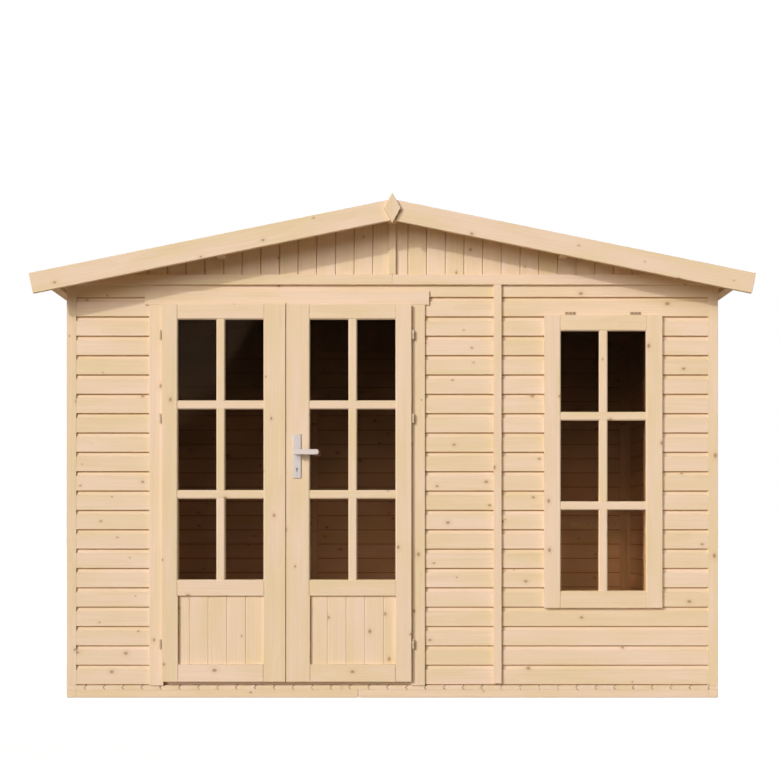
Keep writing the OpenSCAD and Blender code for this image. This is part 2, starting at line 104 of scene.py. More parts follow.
def tone(red, green, blue):
    """A display colour, 0 to 255 a channel, as the linear colour that a shader takes."""
    shares = (level / 255 for level in (red, green, blue))
    linear = [s / 12.92 if s <= 0.04045 else ((s + 0.055) / 1.055) ** 2.4 for s in shares]
    return (*linear, 1.0)


def length(name, description, default):
    """A length that a user can change."""
    return bpy.props.FloatProperty(
        name=name, description=description, default=default, min=0.0, unit="LENGTH", precision=4
    )


def number(name, description, default, **limits):
    """A plain number that a user can change."""
    return bpy.props.FloatProperty(name=name, description=description, default=default, min=0.0, **limits)


def direction(name, description, default):
    """A direction that a user can change."""
    return bpy.props.FloatVectorProperty(
        name=name, description=description, default=default, subtype="XYZ"
    )


def colour(name, description, default):
    """A colour that a user can change."""
    return bpy.props.FloatVectorProperty(
        name=name, description=description, default=default, size=4, min=0.0, max=1.0, subtype="COLOR"
    )


class ShedBoardSizes(bpy.types.PropertyGroup):
    """Sections of the boards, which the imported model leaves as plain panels"""

    cover: length("Cover", "Height of wall that one weatherboard covers", 0.0880)
    first_joint: length("First joint", "Height of the lowest weatherboard's lower edge", 0.0608)
    scoop_height: length("Scoop height", "Height of the hollow at a weatherboard's top", 0.0175)
    scoop_depth: length("Scoop depth", "Depth of the hollow at a weatherboard's top", 0.0095)
    joint_gap: length("Joint gap", "Open joint between two weatherboards", 0.0057)
    tongue: length("Tongue", "Thickness of the tongues that close the joints", 0.0030)
    shoulder: length("Shoulder", "Depth of the joint that shows inside, behind the tongue", 0.0030)
    lip_round: length("Lip rounding", "Rounding of a weatherboard's lower edge", 0.0022)
    upright_cover: length("Upright cover", "Width that one upright board covers", 0.0849)
    upright_gap: length("Upright gap", "Open joint between two upright boards", 0.0015)
    hook: length("Hook", "How far the pointed tongue of an upright board stands out", 0.0055)
    gable_gap: length("Gable gap", "Open joint between two gable boards", 0.0042)
    left_gable_joint: length("Left gable joint", "From the ridge to the first joint on the left", 0.0845)
    right_gable_joint: length("Right gable joint", "The same on the right", 0.0750)
    floor_gap: length("Floor gap", "Open joint between two floor boards", 0.0034)
    floor_hook: length("Floor hook", "How far the pointed tongue of a floor board stands out", 0.0090)
    upright_veer: length("Upright veer", "Chamfer beside the joint of two upright boards", 0.0024)
    floor_cover: length("Floor cover", "Width that one floor board covers", 0.0859)
    first_floor: length("First floor board", "Width of the floor's first board", 0.0905)
    ease: length("Ease", "Rounding of the edges of planed trim", 0.0014)
    back_ease: length("Back ease", "Chamfer where planed trim lies on a wall", 0.0032)
    batten_ease: length("Batten ease", "Rounding of the edges of sawn bearers", 0.0025)


class ShedJoinerySizes(bpy.types.PropertyGroup):
    """Sizes of the door leaves and the window sash"""

    lip: length("Lip", "Thickness of the leaf's outer layer, which laps over the frame", 0.0160)
    lap: length("Lap", "How far the leaf's outer layer laps over the frame", 0.0130)
    door_bar: length("Door bar", "Width of the glazing bars in the doors", 0.0395)
    window_bar: length("Window bar", "Width of the glazing bars in the window", 0.0390)
    bar_setback: length("Bar setback", "How far the glazing bars lie behind the frame's face", 0.0025)
    bead: length("Bead", "Chamfer round each pane", 0.0050)
    rail_joint: length("Rail joint", "Open line between the rails and the stiles", 0.0034)
    foot_joint: length("Foot joint", "Open line between the lowest rails and the stiles", 0.0012)
    meeting_lip: length("Meeting lip", "How far each leaf's outer layer closes the middle gap", 0.0012)
    sill_back: length("Sill back", "How far the threshold's face lies behind the jambs", 0.0320)
    left_door_joint: length("Left door joint", "Width of the left leaf's first panel board", 0.0520)
    right_door_joint: length("Right door joint", "Width of the right leaf's first panel board", 0.0805)
    panel_cover: length("Panel cover", "Width that one board of a leaf's panel covers", 0.0850)
    inner_bar: length("Inner bar", "Thickness of the window's bars behind the pane", 0.0140)
    frame_show: length("Frame show", "How far the window sash laps over the wall", 0.0480)


class ShedRoofSizes(bpy.types.PropertyGroup):
    """Sizes of the roof covering"""

    pitch: number("Pitch", "Slope of the roof", math.radians(11.5), subtype="ANGLE")
    tab_pitch: length("Tab pitch", "Distance between the tabs of one row of shingles", 0.3330)
    exposure: length("Exposure", "Height of one row of shingles that shows", 0.1390)
    tab_top: length("Tab top", "Width of a tab where it leaves its sheet", 0.2460)
    tab_foot: length("Tab foot", "Width of a tab at its lower edge", 0.0840)
    headlap: length("Head lap", "How far a sheet runs on under the one above", 0.0200)
    sheet: length("Sheet", "Thickness of a shingle", 0.0030)
    band: length("Band", "Height of the dark band that shows above each row", 0.0460)
    cap_show: length("Cap show", "Length of each ridge cap that shows", 0.1400)
    cap_lap: length("Cap lap", "How far each ridge cap runs on under the next", 0.0300)
    cap_sheet: length("Cap sheet", "Thickness of a ridge cap", 0.0016)
    cap_round: length("Cap rounding", "Rounding of a ridge cap's corners", 0.0100)
    mitre: length("Mitre", "Half the open joint between two bargeboards", 0.0008)


class ShedFittingSizes(bpy.types.PropertyGroup):
    """Sizes of the hinges and the handle"""

    barrel: length("Barrel", "Radius of a hinge barrel", 0.0056)
    axis_in: length("Axis in", "How far a barrel's axis lies inside the hinge's place", 0.0075)
    knuckle: length("Knuckle", "Height of the lower half of a hinge barrel", 0.0197)
    stem: length("Stem", "Radius of the stems that are screwed into the wood", 0.0036)
    pin: length("Pin", "Radius of a hinge's pin", 0.0028)
    cap: length("Cap", "Radius of the caps at the ends of a barrel", 0.0042)
    cap_height: length("Cap height", "Height of those caps", 0.0016)
    flap_knuckle: length("Flap knuckle", "Radius of the knuckles of the window hinges", 0.0035)
    spindle: length("Spindle", "Height of the lever's axis over the ground", 1.1120)
    keyhole: length("Keyhole", "Height of the keyhole's round part over the ground", 1.0385)
    key_round: length("Key round", "Radius of the keyhole's round part", 0.0050)
    key_slot: length("Key slot", "Half width of the keyhole's slot", 0.0022)
    key_drop: length("Key drop", "Length of the keyhole's slot", 0.0150)
    plate_round: length("Plate rounding", "Rounding of the plates' corners", 0.0022)
    plate_ease: length("Plate ease", "Rounding of the plates' front edges", 0.0014)
    collar: length("Collar", "Radius of the collar round the spindle", 0.0125)
    collar_rise: length("Collar rise", "How far the collar stands out of its plate", 0.0024)
    neck: length("Neck", "Radius of the lever's neck", 0.0088)
    arm: length("Arm", "Thickness of the lever's arm", 0.0120)
    arm_tip: length("Arm tip", "Rounding of the lever's free end", 0.0048)
    arm_root: length("Arm root", "Rounding of the lever's other end", 0.0055)


class ShedColours(bpy.types.PropertyGroup):
    """Colours of the finishes"""

    pale: colour("Pale spruce", "Palest tone of the planed spruce", tone(240, 212, 186))
    warm: colour("Warm spruce", "Yellower tone of the planed spruce", tone(231, 206, 165))
    ring: colour("Growth ring", "Tone of the late wood in the growth rings", tone(206, 171, 132))
    knot: colour("Knot", "Tone of the small knots", tone(156, 115, 76))
    # joint is painted shade: a darker wood for the tongues deep in the weatherboards' open joints, seen
    # from outside and inside.
    joint: colour("Joint", "Tone of the wood deep in the joints", tone(204, 164, 118))
    shingle: colour("Shingle", "Plum brown granules", tone(110, 95, 95))
    shingle_grey: colour("Grey granules", "Grey granules among the brown ones", tone(103, 99, 97))
    band: colour("Shingle band", "Dark band of the shingles", tone(74, 74, 75))
    steel: colour("Hinge steel", "Dull plated steel of the door hinges", tone(206, 178, 144))
    flap: colour("Flap steel", "Browner steel of the window hinges", tone(184, 146, 94))
    handle: colour("Lever metal", "Satin metal of the lever", tone(186, 172, 165))
    plate: colour("Plate metal", "Satin metal of the long plates", tone(178, 168, 163))
    daylight: colour("Daylight", "Tint of the lamps' light behind the panes", tone(196, 180, 163))
    # The two pane tints paint light into the glass: the dark top tint is painted shade of the shed's dark
    # inside, the pale foot tint is painted light.
    pane: colour("Pane", "Tint of the panes at the top", tone(96, 79, 67))
    pane_low_painted_light: colour("Pane foot", "Paler tint of the panes lower down", tone(234, 219, 204))
    floor: colour("Stage floor", "Plain floor under the shed", tone(142, 128, 108))
    floor_lift: number("Floor lift", "How much whiter the camera sees the floor", 0.915, max=1.0)


class ShedLightSettings(bpy.types.PropertyGroup):
    """Plain studio light"""

    lamp: number("Lamp", "Strength of the crisp lamp", 1.18)
    lamp_way: direction("Lamp way", "Way that the crisp light travels", (0.84, 1.0, -0.50))
    soft: number("Soft light", "Strength of the wide lamp", 2.12)
    soft_way: direction("Soft way", "Way that the soft light travels", (0.5, 1.0, -0.37))
    back: number("Back light", "Strength of the lamp behind", 2.4)
    back_way: direction("Back way", "Way that the light from behind travels", (-0.9, -1.0, -0.9))
    fill: number("Fill", "Strength of the white fill", 0.06)


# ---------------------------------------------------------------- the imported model's places


def islands(mesh, merged=False):
    """Lists of the corner numbers of each loose part of a mesh; merged treats equal corners as one."""
    number, names = {}, []
    for n, vertex in enumerate(mesh.vertices):
        key = tuple(round(c, 5) for c in vertex.co) if merged else n
        names.append(number.setdefault(key, len(number)))
    root = list(range(len(number)))

    def find(n):
        while root[n] != n:
            root[n] = root[root[n]]
            n = root[n]
        return n

    for edge in mesh.edges:
        first, second = edge.vertices
        root[find(names[first])] = find(names[second])
    groups = {}
    for n, name in enumerate(names):
        groups.setdefault(find(name), []).append(n)
    return list(groups.values())


def solids(node):
    """Lowest and highest corner of each separate solid of a CAD node, from left to right."""
    mesh = frame["nodes"][node].data
    found = []
    for corners in islands(mesh, merged=True):
        spread = list(zip(*(mesh.vertices[n].co for n in corners)))
        found.append((Vector(map(min, spread)), Vector(map(max, spread))))
    return sorted(found, key=lambda pair: tuple(round(c, 4) for c in pair[0]))


def ridge_point():
    """The ridge line's end point: the peak of the deck's underside."""
    return Vector((0, 0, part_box("ridge_beam")[1].z))


def slope_way(side):
    """Unit vectors down the roof on a side (1 right, -1 left) and square out of it."""
    pitch = bpy.context.scene.shed_roof.pitch
    down = Vector((side * math.cos(pitch), 0, -math.sin(pitch)))
    out = Vector((side * math.sin(pitch), 0, math.cos(pitch)))
    return down, out


def slope_span(low, high):
    """How far a solid runs down the slope, and how high its faces lie over the deck's underside."""
    down, out = slope_way(1)
    near, far = sorted((abs(low.x), abs(high.x)))
    top = (high.z - ridge_point().z - near * down.z / down.x) * out.z
    end = (far - top * out.x) / down.x
    foot = (low.z - ridge_point().z - end * down.z) / out.z
    return end, foot, top


# ---------------------------------------------------------------- modelling as by hand


def activate(*pieces):
    """Leaves just these pieces selected, with the first one active."""
    bpy.ops.object.select_all(action="DESELECT")
    for piece in pieces:
        piece.select_set(True)
    bpy.context.view_layer.objects.active = pieces[0]


def block(name, low, high):
    """A cube stretched between two corners, ready to be shaped."""
    low, high = Vector(low), Vector(high)
    bpy.ops.object.select_all(action="DESELECT")
    bpy.ops.mesh.primitive_cube_add(size=1, location=(low + high) / 2, scale=high - low)
    return settle(name)


def rod(name, centre, radius, depth, axis, sides=24):
    """A cylinder along an axis, ready to be shaped."""
    turns = {X: (0, math.pi / 2, 0), Y: (math.pi / 2, 0, 0), Z: (0, 0, 0)}
    bpy.ops.object.select_all(action="DESELECT")
    bpy.ops.mesh.primitive_cylinder_add(
        vertices=sides, radius=radius, depth=depth, location=centre, rotation=turns[axis]
    )
    return settle(name)


def settle(name):
    """Names the active piece and puts its place in its mesh."""
    piece = bpy.context.active_object
    piece.name = name
    piece.data.name = name
    bpy.ops.object.transform_apply(location=True, rotation=True, scale=True)
    return piece


def pick(piece, kind="VERT", test=None):
    """Selects the VERT, EDGE or FACE parts of a piece that pass a test, or all of it, in edit mode."""
    if piece.mode != "EDIT":
        activate(piece)
        bpy.ops.object.mode_set(mode="EDIT")
    bpy.ops.mesh.select_mode(type=kind)
    bpy.ops.mesh.select_all(action="DESELECT" if test else "SELECT")
    if not test:
        return
    mesh = bmesh.from_edit_mesh(piece.data)
    for part in {"VERT": mesh.verts, "EDGE": mesh.edges, "FACE": mesh.faces}[kind]:
        if test(part):
            part.select_set(True)
    bmesh.update_edit_mesh(piece.data)


def leave():
    """Back to object mode."""
    bpy.ops.object.mode_set(mode="OBJECT")


def on(axis, value, *more):
    """A test that a part lies wholly on a plane across an axis, and on further planes given in pairs."""
    planes = [(axis, value), *zip(more[::2], more[1::2])]

    def test(part):
        corners = getattr(part, "verts", [part])
        return all(abs(corner.co[a] - v) < NEAR for corner in corners for a, v in planes)

    return test


def ease(piece, width, test=None, steps=1):
    """Bevels the edges that pass a test, or all of them."""
    pick(piece, "EDGE", test)
    bpy.ops.mesh.bevel(offset=width, segments=steps, affect="EDGES")
    leave()
    return piece


def slice_at(piece, point, normal, drop=False):
    """Cuts a piece along a plane; drop takes away what lies on the normal's side and closes the cut."""
    pick(piece)
    bpy.ops.mesh.bisect(plane_co=point, plane_no=normal, use_fill=drop, clear_outer=drop)
    leave()
    return piece


def trim(piece, low=None, high=None):
    """Saws a piece off square at the given limits: pairs of axis and value."""
    for limits, way_out in ((low, -1), (high, 1)):
        for axis, value in (limits or {}).items():
            slice_at(piece, AXES[axis] * value, AXES[axis] * way_out, drop=True)
    return piece


def pull(piece, test, move):
    """Extrudes the faces that pass a test."""
    pick(piece, "FACE", test)
    bpy.ops.mesh.extrude_region_move(TRANSFORM_OT_translate={"value": move})
    leave()
    return piece


def shift(piece, test, move):
    """Moves the corners that pass a test, or all of them."""
    pick(piece, "VERT", test)
    bpy.ops.transform.translate(value=move)
    leave()
    return piece


def turn(piece, angle, axis, centre):
    """Turns a whole piece about an axis through a point, right-handed."""
    pick(piece)
    bpy.ops.transform.rotate(value=-angle, orient_axis="XYZ"[axis], center_override=centre)
    leave()
    return piece


def copy_of(piece, move=(0, 0, 0)):
    """A copy of a piece with its own mesh, moved."""
    activate(piece)
    bpy.ops.object.duplicate(linked=False)
    made = bpy.context.active_object
    bpy.ops.transform.translate(value=move)
    bpy.ops.object.transform_apply(location=True, rotation=True, scale=True)
    return made


def modified(piece, kind, **settings):
    """Adds a modifier to a piece and applies it."""
    activate(piece)
    bpy.ops.object.modifier_add(type=kind)
    modifier = piece.modifiers[-1]
    for key, value in settings.items():
        setattr(modifier, key, value)
    bpy.ops.object.modifier_apply(modifier=modifier.name)
    return piece


def row_of(piece, step, count):
    """Repeats a piece along a step."""
    steps = {"use_relative_offset": False, "use_constant_offset": True, "constant_offset_displace": step}
    return modified(piece, "ARRAY", count=count, **steps)


def remove(piece):
    """Deletes a piece."""
    activate(piece)
    bpy.ops.object.delete()


def hollow(piece, cutter):
    """Cuts one piece's shape out of another."""
    modified(piece, "BOOLEAN", operation="DIFFERENCE", solver="EXACT", object=cutter)
    remove(cutter)
    return piece


def joined(name, parts):
    """Several parts as one named piece."""
    activate(*parts)
    if len(parts) > 1:
        bpy.ops.object.join()
    parts[0].name = name
    parts[0].data.name = name
    return parts[0]


def square(edge):
    """The test that an edge is about as sharp as a square corner."""
    return edge.calc_face_angle(0.0) > 1.2


def plank(low, high, width, back=None):
    """A square-edged plank with eased edges; back names the height along Y of the face on a wall."""
    board = block("plank", low, high)
    if back is not None:
        chamfer = bpy.context.scene.shed_boards.back_ease
        ease(board, chamfer, on(Y, back))
    return ease(board, width, square)


def store(piece, own):
    """Stores a place and a tint in each loose part; own makes both from the part's corners."""
    mesh = piece.data
    mesh.attributes.new("place", "FLOAT_VECTOR", "POINT")
    mesh.attributes.new("board", "FLOAT", "POINT")
    place, board = mesh.attributes["place"].data, mesh.attributes["board"].data
    for corners in islands(mesh):
        placed, tint = own([mesh.vertices[n].co for n in corners])
        for n in corners:
            place[n].vector = placed(mesh.vertices[n].co)
            board[n].value = tint
    return piece


def lay_grain(piece, along, across, spread=0.5):
    """Cuts each board from a log of its own: its place along the grain, across it and through it."""
    draw = random.Random(piece.name)
    along, across = AXES[along], AXES[across]
    axes = (along, across, along.cross(across))

    def own(spots):
        middle = sum(spots, Vector()) / len(spots)
        log = Vector((draw.uniform(0, 40), draw.uniform(-0.10, 0.10), draw.uniform(0.02, 0.10)))
        tint = 0.5 + spread * (draw.random() - 0.5)
        return lambda spot: Vector([(spot - middle).dot(axis) for axis in axes]) + log, tint

    return store(piece, own)


def lay_sheets(piece, seed):
    """Places each shingle from its upper edge down."""
    draw = random.Random(seed)

    def own(spots):
        start = Vector((min(spot.x for spot in spots), 0, 0))
        return lambda spot: spot - start, draw.random()

    return store(piece, own)


def dressed(piece, material):
    """A piece with one material."""
    piece.data.materials.clear()
    piece.data.materials.append(material)
    return piece


def stand_in(piece, node, material=None):
    """Lets a finished piece stand for a CAD node: its body and its material."""
    if material:
        dressed(piece, material)
    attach(piece, frame["nodes"][node]["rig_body"])
    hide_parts(node)
    return piece


def pitched(piece, side, gap=0.0):
    """Turns a flat piece onto its slope, and saws it off at a gap from the ridge line."""
    turn(piece, side * bpy.context.scene.shed_roof.pitch, Y, ridge_point())
    return slice_at(piece, (side * gap, 0, 0), AXES[X] * -side, drop=True)


def side_of(low, high):
    """1 for a solid on the right, -1 for one on the left."""
    return 1 if low.x + high.x > 0 else -1


def wooden(name, parts, node, along, across, boarded=False):
    """Joins parts that stand for a CAD node and lays their grain: planed trim, or boards."""
    piece = lay_grain(joined(name, parts), along, across)
    if boarded:
        return stand_in(piece, node, wood("boarded_spruce"))
    return stand_in(piece, node, wood("planed_spruce"))


def crossing(axis, reach):
    """A test that an edge runs further than a reach along an axis."""
    return lambda edge: abs(edge.verts[0].co[axis] - edge.verts[1].co[axis]) > reach


def any_of(*tests):
    """A test that at least one of several tests is passed."""
    return lambda part: any(test(part) for test in tests)


# ---------------------------------------------------------------- finishes


def group_tree(name, inputs, outputs):
    """An empty shader group with named sockets: the tree, its input node and its output node."""
    tree = bpy.data.node_groups.new(name, "ShaderNodeTree")
    for way_through, sockets in (("INPUT", inputs), ("OUTPUT", outputs)):
        for label, kind in sockets.items():
            tree.interface.new_socket(label, in_out=way_through, socket_type="NodeSocket" + kind)
    return tree, tree.nodes.new("NodeGroupInput"), tree.nodes.new("NodeGroupOutput")


def plug(tree, node, plugs):
    """Plugs values or other nodes' sockets into a node."""
    for socket, value in plugs.items():
        if isinstance(value, bpy.types.NodeSocket):
            tree.links.new(value, node.inputs[socket])
        else:
            node.inputs[socket].default_value = value


def add(tree, kind, plugs=None, **settings):
    """Adds a shader node with its settings and its plugs."""
    made = tree.nodes.new("ShaderNode" + kind)
    for key, value in settings.items():
        setattr(made, key, value)
    plug(tree, made, plugs or {})
    return made


def calc(tree, operation, *values, clamp=False):
    """A Math node's result."""
    made = add(tree, "Math", dict(enumerate(values)), operation=operation, use_clamp=clamp)
    return made.outputs[0]


def scaled(tree, value, factor, offset, clamp=False):
    """A value times a factor, plus an offset."""
    return calc(tree, "MULTIPLY_ADD", value, factor, offset, clamp=clamp)


def vector(tree, operation, *values):
    """A Vector Math node's result: its vector, or its number for a length."""
    made = add(tree, "VectorMath", dict(enumerate(values)), operation=operation)
    return made.outputs["Value" if operation == "LENGTH" else "Vector"]


def blend(tree, amount, first, second):
    """A colour between two, by an amount."""
    plugs = {0: amount, 6: first, 7: second}
    return add(tree, "Mix", plugs, data_type="RGBA", clamp_factor=True).outputs[2]


def ramp(tree, value, start, end):
    """0 at start, 1 at end, eased in between."""
    plugs = {"Value": value, "From Min": start, "From Max": end}
    return add(tree, "MapRange", plugs, interpolation_type="SMOOTHSTEP").outputs["Result"]


def noise(tree, place, scale=1.0, detail=2.0):
    """Smooth noise over a place, from 0 to 1."""
    return add(tree, "TexNoise", {"Vector": place, "Scale": scale, "Detail": detail}).outputs["Fac"]


def spot_of(tree):
    """The place of a point in the whole shed."""
    return add(tree, "TexCoord").outputs["Object"]


def board_place(tree):
    """The place of a point in its own board, and the board's tint."""
    place = add(tree, "Attribute", attribute_name="place").outputs["Vector"]
    return place, add(tree, "Attribute", attribute_name="board").outputs["Fac"]


def bump(tree, height, strength, distance):
    """A relief of the surface."""
    return add(tree, "Bump", {"Height": height, "Strength": strength, "Distance": distance}).outputs[0]


def spruce_group():
    """Planed spruce: growth rings, fine streaks and small knots in a board's own place."""
    if "spruce_grain" in bpy.data.node_groups:
        return bpy.data.node_groups["spruce_grain"]
    inputs = {"Place": "Vector", "Board": "Float", "Knot share": "Float"}
    inputs.update(dict.fromkeys(("Pale", "Warm", "Ring", "Knot"), "Color"))
    outputs = {"Color": "Color", "Roughness": "Float", "Height": "Float"}
    tree, start, end = group_tree("spruce_grain", inputs, outputs)
    place, board = start.outputs["Place"], start.outputs["Board"]
    split = add(tree, "SeparateXYZ", {0: place})

    knot_step = Vector((0.23, 0.080, 0))  # mean distance of the knots along and across a board
    grid = vector(tree, "MULTIPLY", place, (1 / knot_step.x, 1 / knot_step.y, 0))
    cells = add(tree, "TexVoronoi", {"Vector": grid, "Scale": 1.0}, voronoi_dimensions="2D")
    away = vector(tree, "SUBTRACT", grid, cells.outputs["Position"])
    flat = vector(tree, "MULTIPLY", away, (knot_step.x * 0.72, knot_step.y, 0))
    reach = vector(tree, "LENGTH", flat)
    chance = add(tree, "SeparateColor", {0: cells.outputs["Color"]})
    size = scaled(tree, chance.outputs[1], 0.0048, 0.0021)
    there = calc(tree, "LESS_THAN", chance.outputs[0], start.outputs["Knot share"])
    share_of_size = calc(tree, "DIVIDE", reach, size)
    core = calc(tree, "MULTIPLY", ramp(tree, share_of_size, 1.7, 0.3), there)
    halo = calc(tree, "MULTIPLY", ramp(tree, share_of_size, 4.5, 0.9), there)

    bend = noise(tree, vector(tree, "MULTIPLY", place, (1.6, 9.0, 9.0)))
    from_pith = add(tree, "CombineXYZ", {1: split.outputs[1], 2: split.outputs[2]}).outputs[0]
    radius = vector(tree, "LENGTH", from_pith)
    radius = scaled(tree, bend, 0.034, radius)
    radius = scaled(tree, halo, 0.006, radius)
    turn_of_ring = calc(tree, "FRACT", calc(tree, "DIVIDE", radius, 0.0085))
    late_wood = calc(tree, "POWER", turn_of_ring, 3.0)
    streak = noise(tree, vector(tree, "MULTIPLY", place, (2.2, 120.0, 120.0)), detail=1.0)
    cloud = noise(tree, vector(tree, "MULTIPLY", place, (2.6, 14.0, 14.0)), detail=3.0)

    warmth = scaled(tree, cloud, 2.6, -1.30)
    warmth = calc(tree, "ADD", warmth, board, clamp=True)
    wood = blend(tree, warmth, start.outputs["Pale"], start.outputs["Warm"])
    lines = scaled(tree, streak, 0.26, -0.06)
    lines = scaled(tree, late_wood, 0.13, lines)
    lines = scaled(tree, halo, 0.22, lines, clamp=True)
    wood = blend(tree, lines, wood, start.outputs["Ring"])
    wood = blend(tree, calc(tree, "MULTIPLY", core, 0.78), wood, start.outputs["Knot"])
    gloss = scaled(tree, late_wood, -0.10, 0.66)
    rough = scaled(tree, streak, 0.10, gloss)
    height = scaled(tree, late_wood, 0.5, streak)
    height = scaled(tree, core, 0.8, height)
    plug(tree, end, {"Color": wood, "Roughness": rough, "Height": height})
    return tree


def new_material(name):
    """An empty material: its tree and its Principled shader."""
    material = bpy.data.materials.new(name)
    material.use_nodes = True
    return material, material.node_tree, material.node_tree.nodes["Principled BSDF"]


def wood(name, knots=0.40, along=None):
    """A spruce finish; along names the grain's axis on CAD nodes, which have no board places."""
    if name in bpy.data.materials:
        return bpy.data.materials[name]
    colours = bpy.context.scene.shed_colours
    material, tree, shader = new_material(name)
    if along is None:
        place, board = board_place(tree)
    else:
        turns = {X: (0, 0, 0), Y: (0, 0, math.pi / 2), Z: (0, math.pi / 2, 0)}
        spot = spot_of(tree)
        from_pith = {"Vector": spot, "Rotation": turns[along], "Location": (0.0, 0.03, 0.05)}
        place = add(tree, "Mapping", from_pith).outputs["Vector"]
        board = noise(tree, spot, scale=1.7)
    plugs = {"Place": place, "Board": board, "Knot share": knots}
    for key in ("pale", "warm", "ring", "knot"):
        plugs[key.capitalize()] = getattr(colours, key)
    grain = add(tree, "Group", plugs, node_tree=spruce_group()).outputs
    plugs = {"Base Color": grain["Color"], "Roughness": grain["Roughness"], "Specular IOR Level": 0.25}
    plug(tree, shader, plugs)
    plug(tree, shader, {"Normal": bump(tree, grain["Height"], 0.35, 0.0006)})
    return material


def shingle_finish():
    """Mineral granules on bitumen, with a dark band at the top of what shows."""
    if "granule_shingle" in bpy.data.materials:
        return bpy.data.materials["granule_shingle"]
    colours = bpy.context.scene.shed_colours
    roof = bpy.context.scene.shed_roof
    material, tree, shader = new_material("granule_shingle")
    place, board = board_place(tree)
    down = add(tree, "SeparateXYZ", {0: place}).outputs[0]
    spot = spot_of(tree)
    grain = noise(tree, spot, scale=420.0, detail=3.0)
    patch = noise(tree, spot, scale=9.0, detail=3.0)
    mixed = scaled(tree, board, 0.5, scaled(tree, patch, 1.6, -0.55))
    ground = blend(tree, mixed, tuple(colours.shingle), tuple(colours.shingle_grey))
    ragged = scaled(tree, grain, 0.010, down)
    edge = roof.headlap + roof.band
    in_band = ramp(tree, ragged, edge + 0.008, edge + 0.002)
    ground = blend(tree, in_band, ground, tuple(colours.band))
    speck = ramp(tree, grain, 0.40, 0.62)
    dark = blend(tree, 0.62, ground, (0.02, 0.017, 0.017, 1))
    light = blend(tree, 0.16, ground, (0.75, 0.70, 0.68, 1))
    rough = scaled(tree, grain, 0.12, 0.82)
    plugs = {"Base Color": blend(tree, speck, dark, light), "Roughness": rough, "Specular IOR Level": 0.3}
    plug(tree, shader, plugs)
    plug(tree, shader, {"Normal": bump(tree, grain, 0.55, 0.0012)})
    return material


def pane_finish():
    """Slightly brown flat glass that lets the lamps through; its tint is painted shade at the top and
    painted light lower down.
    """
    if "brown_pane" in bpy.data.materials:
        return bpy.data.materials["brown_pane"]
    colours = bpy.context.scene.shed_colours
    material, tree, shader = new_material("brown_pane")
    spot = spot_of(tree)
    # The tint runs by height from the dark top colour to the pale foot colour: painted shade at the top,
    # painted light lower down.
    height = add(tree, "SeparateXYZ", {0: spot}).outputs[2]
    uneven = scaled(tree, noise(tree, spot, scale=3.0), 0.3, height)
    depth = calc(tree, "POWER", ramp(tree, uneven, 2.0, 0.7), 1.4)
    tint = blend(tree, depth, tuple(colours.pane), tuple(colours.pane_low_painted_light))
    plug(tree, shader, {"Base Color": tint, "Transmission Weight": 1.0, "Roughness": 0.0, "IOR": 1.45})
    plug(tree, shader, {"Specular Tint": (0.06, 0.045, 0.03, 1.0)})
    clear = add(tree, "BsdfTransparent", {"Color": colours.daylight})
    lamps = add(tree, "LightPath").outputs["Is Shadow Ray"]
    either = add(tree, "MixShader", {0: lamps, 1: shader.outputs[0], 2: clear.outputs[0]})
    plug(tree, tree.nodes["Material Output"], {"Surface": either.outputs[0]})
    return material


def metal(name, base, roughness, brush, bare=1.0):
    """Satin metal, brushed along X, Y and Z by different amounts; bare is its metallic share."""
    if name in bpy.data.materials:
        return bpy.data.materials[name]
    material, tree, shader = new_material(name)
    spot = spot_of(tree)
    scratch = noise(tree, vector(tree, "MULTIPLY", spot, brush), detail=3.0)
    cloud = noise(tree, spot, scale=60.0)
    worn = blend(tree, calc(tree, "MULTIPLY", cloud, 0.35), tuple(base), (0.32, 0.30, 0.28, 1))
    rough = scaled(tree, scratch, 0.22, roughness - 0.11)
    relief = bump(tree, scratch, 0.2, 0.0002)
    plug(tree, shader, {"Base Color": worn, "Roughness": rough, "Normal": relief, "Metallic": bare})
    return material


def steel():
    """Dull plated steel of the door hinges."""
    return metal("plated_steel", bpy.context.scene.shed_colours.steel, 0.52, (160, 160, 900), bare=0.2)


def flap_steel():
    """Browner steel of the window hinges."""
    return metal("flap_steel", bpy.context.scene.shed_colours.flap, 0.52, (900, 160, 160), bare=0.2)


def satin(name, base):
    """Satin metal of the handle, brushed upright."""
    return metal(name, base, 0.50, (900, 900, 120), bare=0.45)


def joint_wood_painted_shade():
    """Spruce deep in the open joints, coloured darker than the planed faces as painted shade."""
    if "joint_spruce" in bpy.data.materials:
        return bpy.data.materials["joint_spruce"]
    shade = bpy.context.scene.shed_colours.joint
    material, tree, shader = new_material("joint_spruce")
    grain = noise(tree, spot_of(tree), scale=9.0)
    deeper = tuple(value * 0.7 for value in shade)[:3] + (1.0,)
    rough = scaled(tree, grain, 0.2, 0.7)
    plug(tree, shader, {"Base Color": blend(tree, grain, tuple(shade), deeper), "Roughness": rough})
    return material


def dark_metal():
    """Dark metal of the lock behind the keyhole, as painted shade, and of the window hinges' screw heads.
    """
    if "dark_slot" in bpy.data.materials:
        return bpy.data.materials["dark_slot"]
    material, tree, shader = new_material("dark_slot")
    dark_mottle = noise(tree, spot_of(tree), scale=300.0)
    dark_tone = blend(tree, dark_mottle, (0.13, 0.12, 0.11, 1), (0.26, 0.24, 0.22, 1))
    plug(tree, shader, {"Base Color": dark_tone, "Roughness": scaled(tree, dark_mottle, 0.3, 0.4)})
    return material


# ---------------------------------------------------------------- boards


SCOOP_STEPS = 4


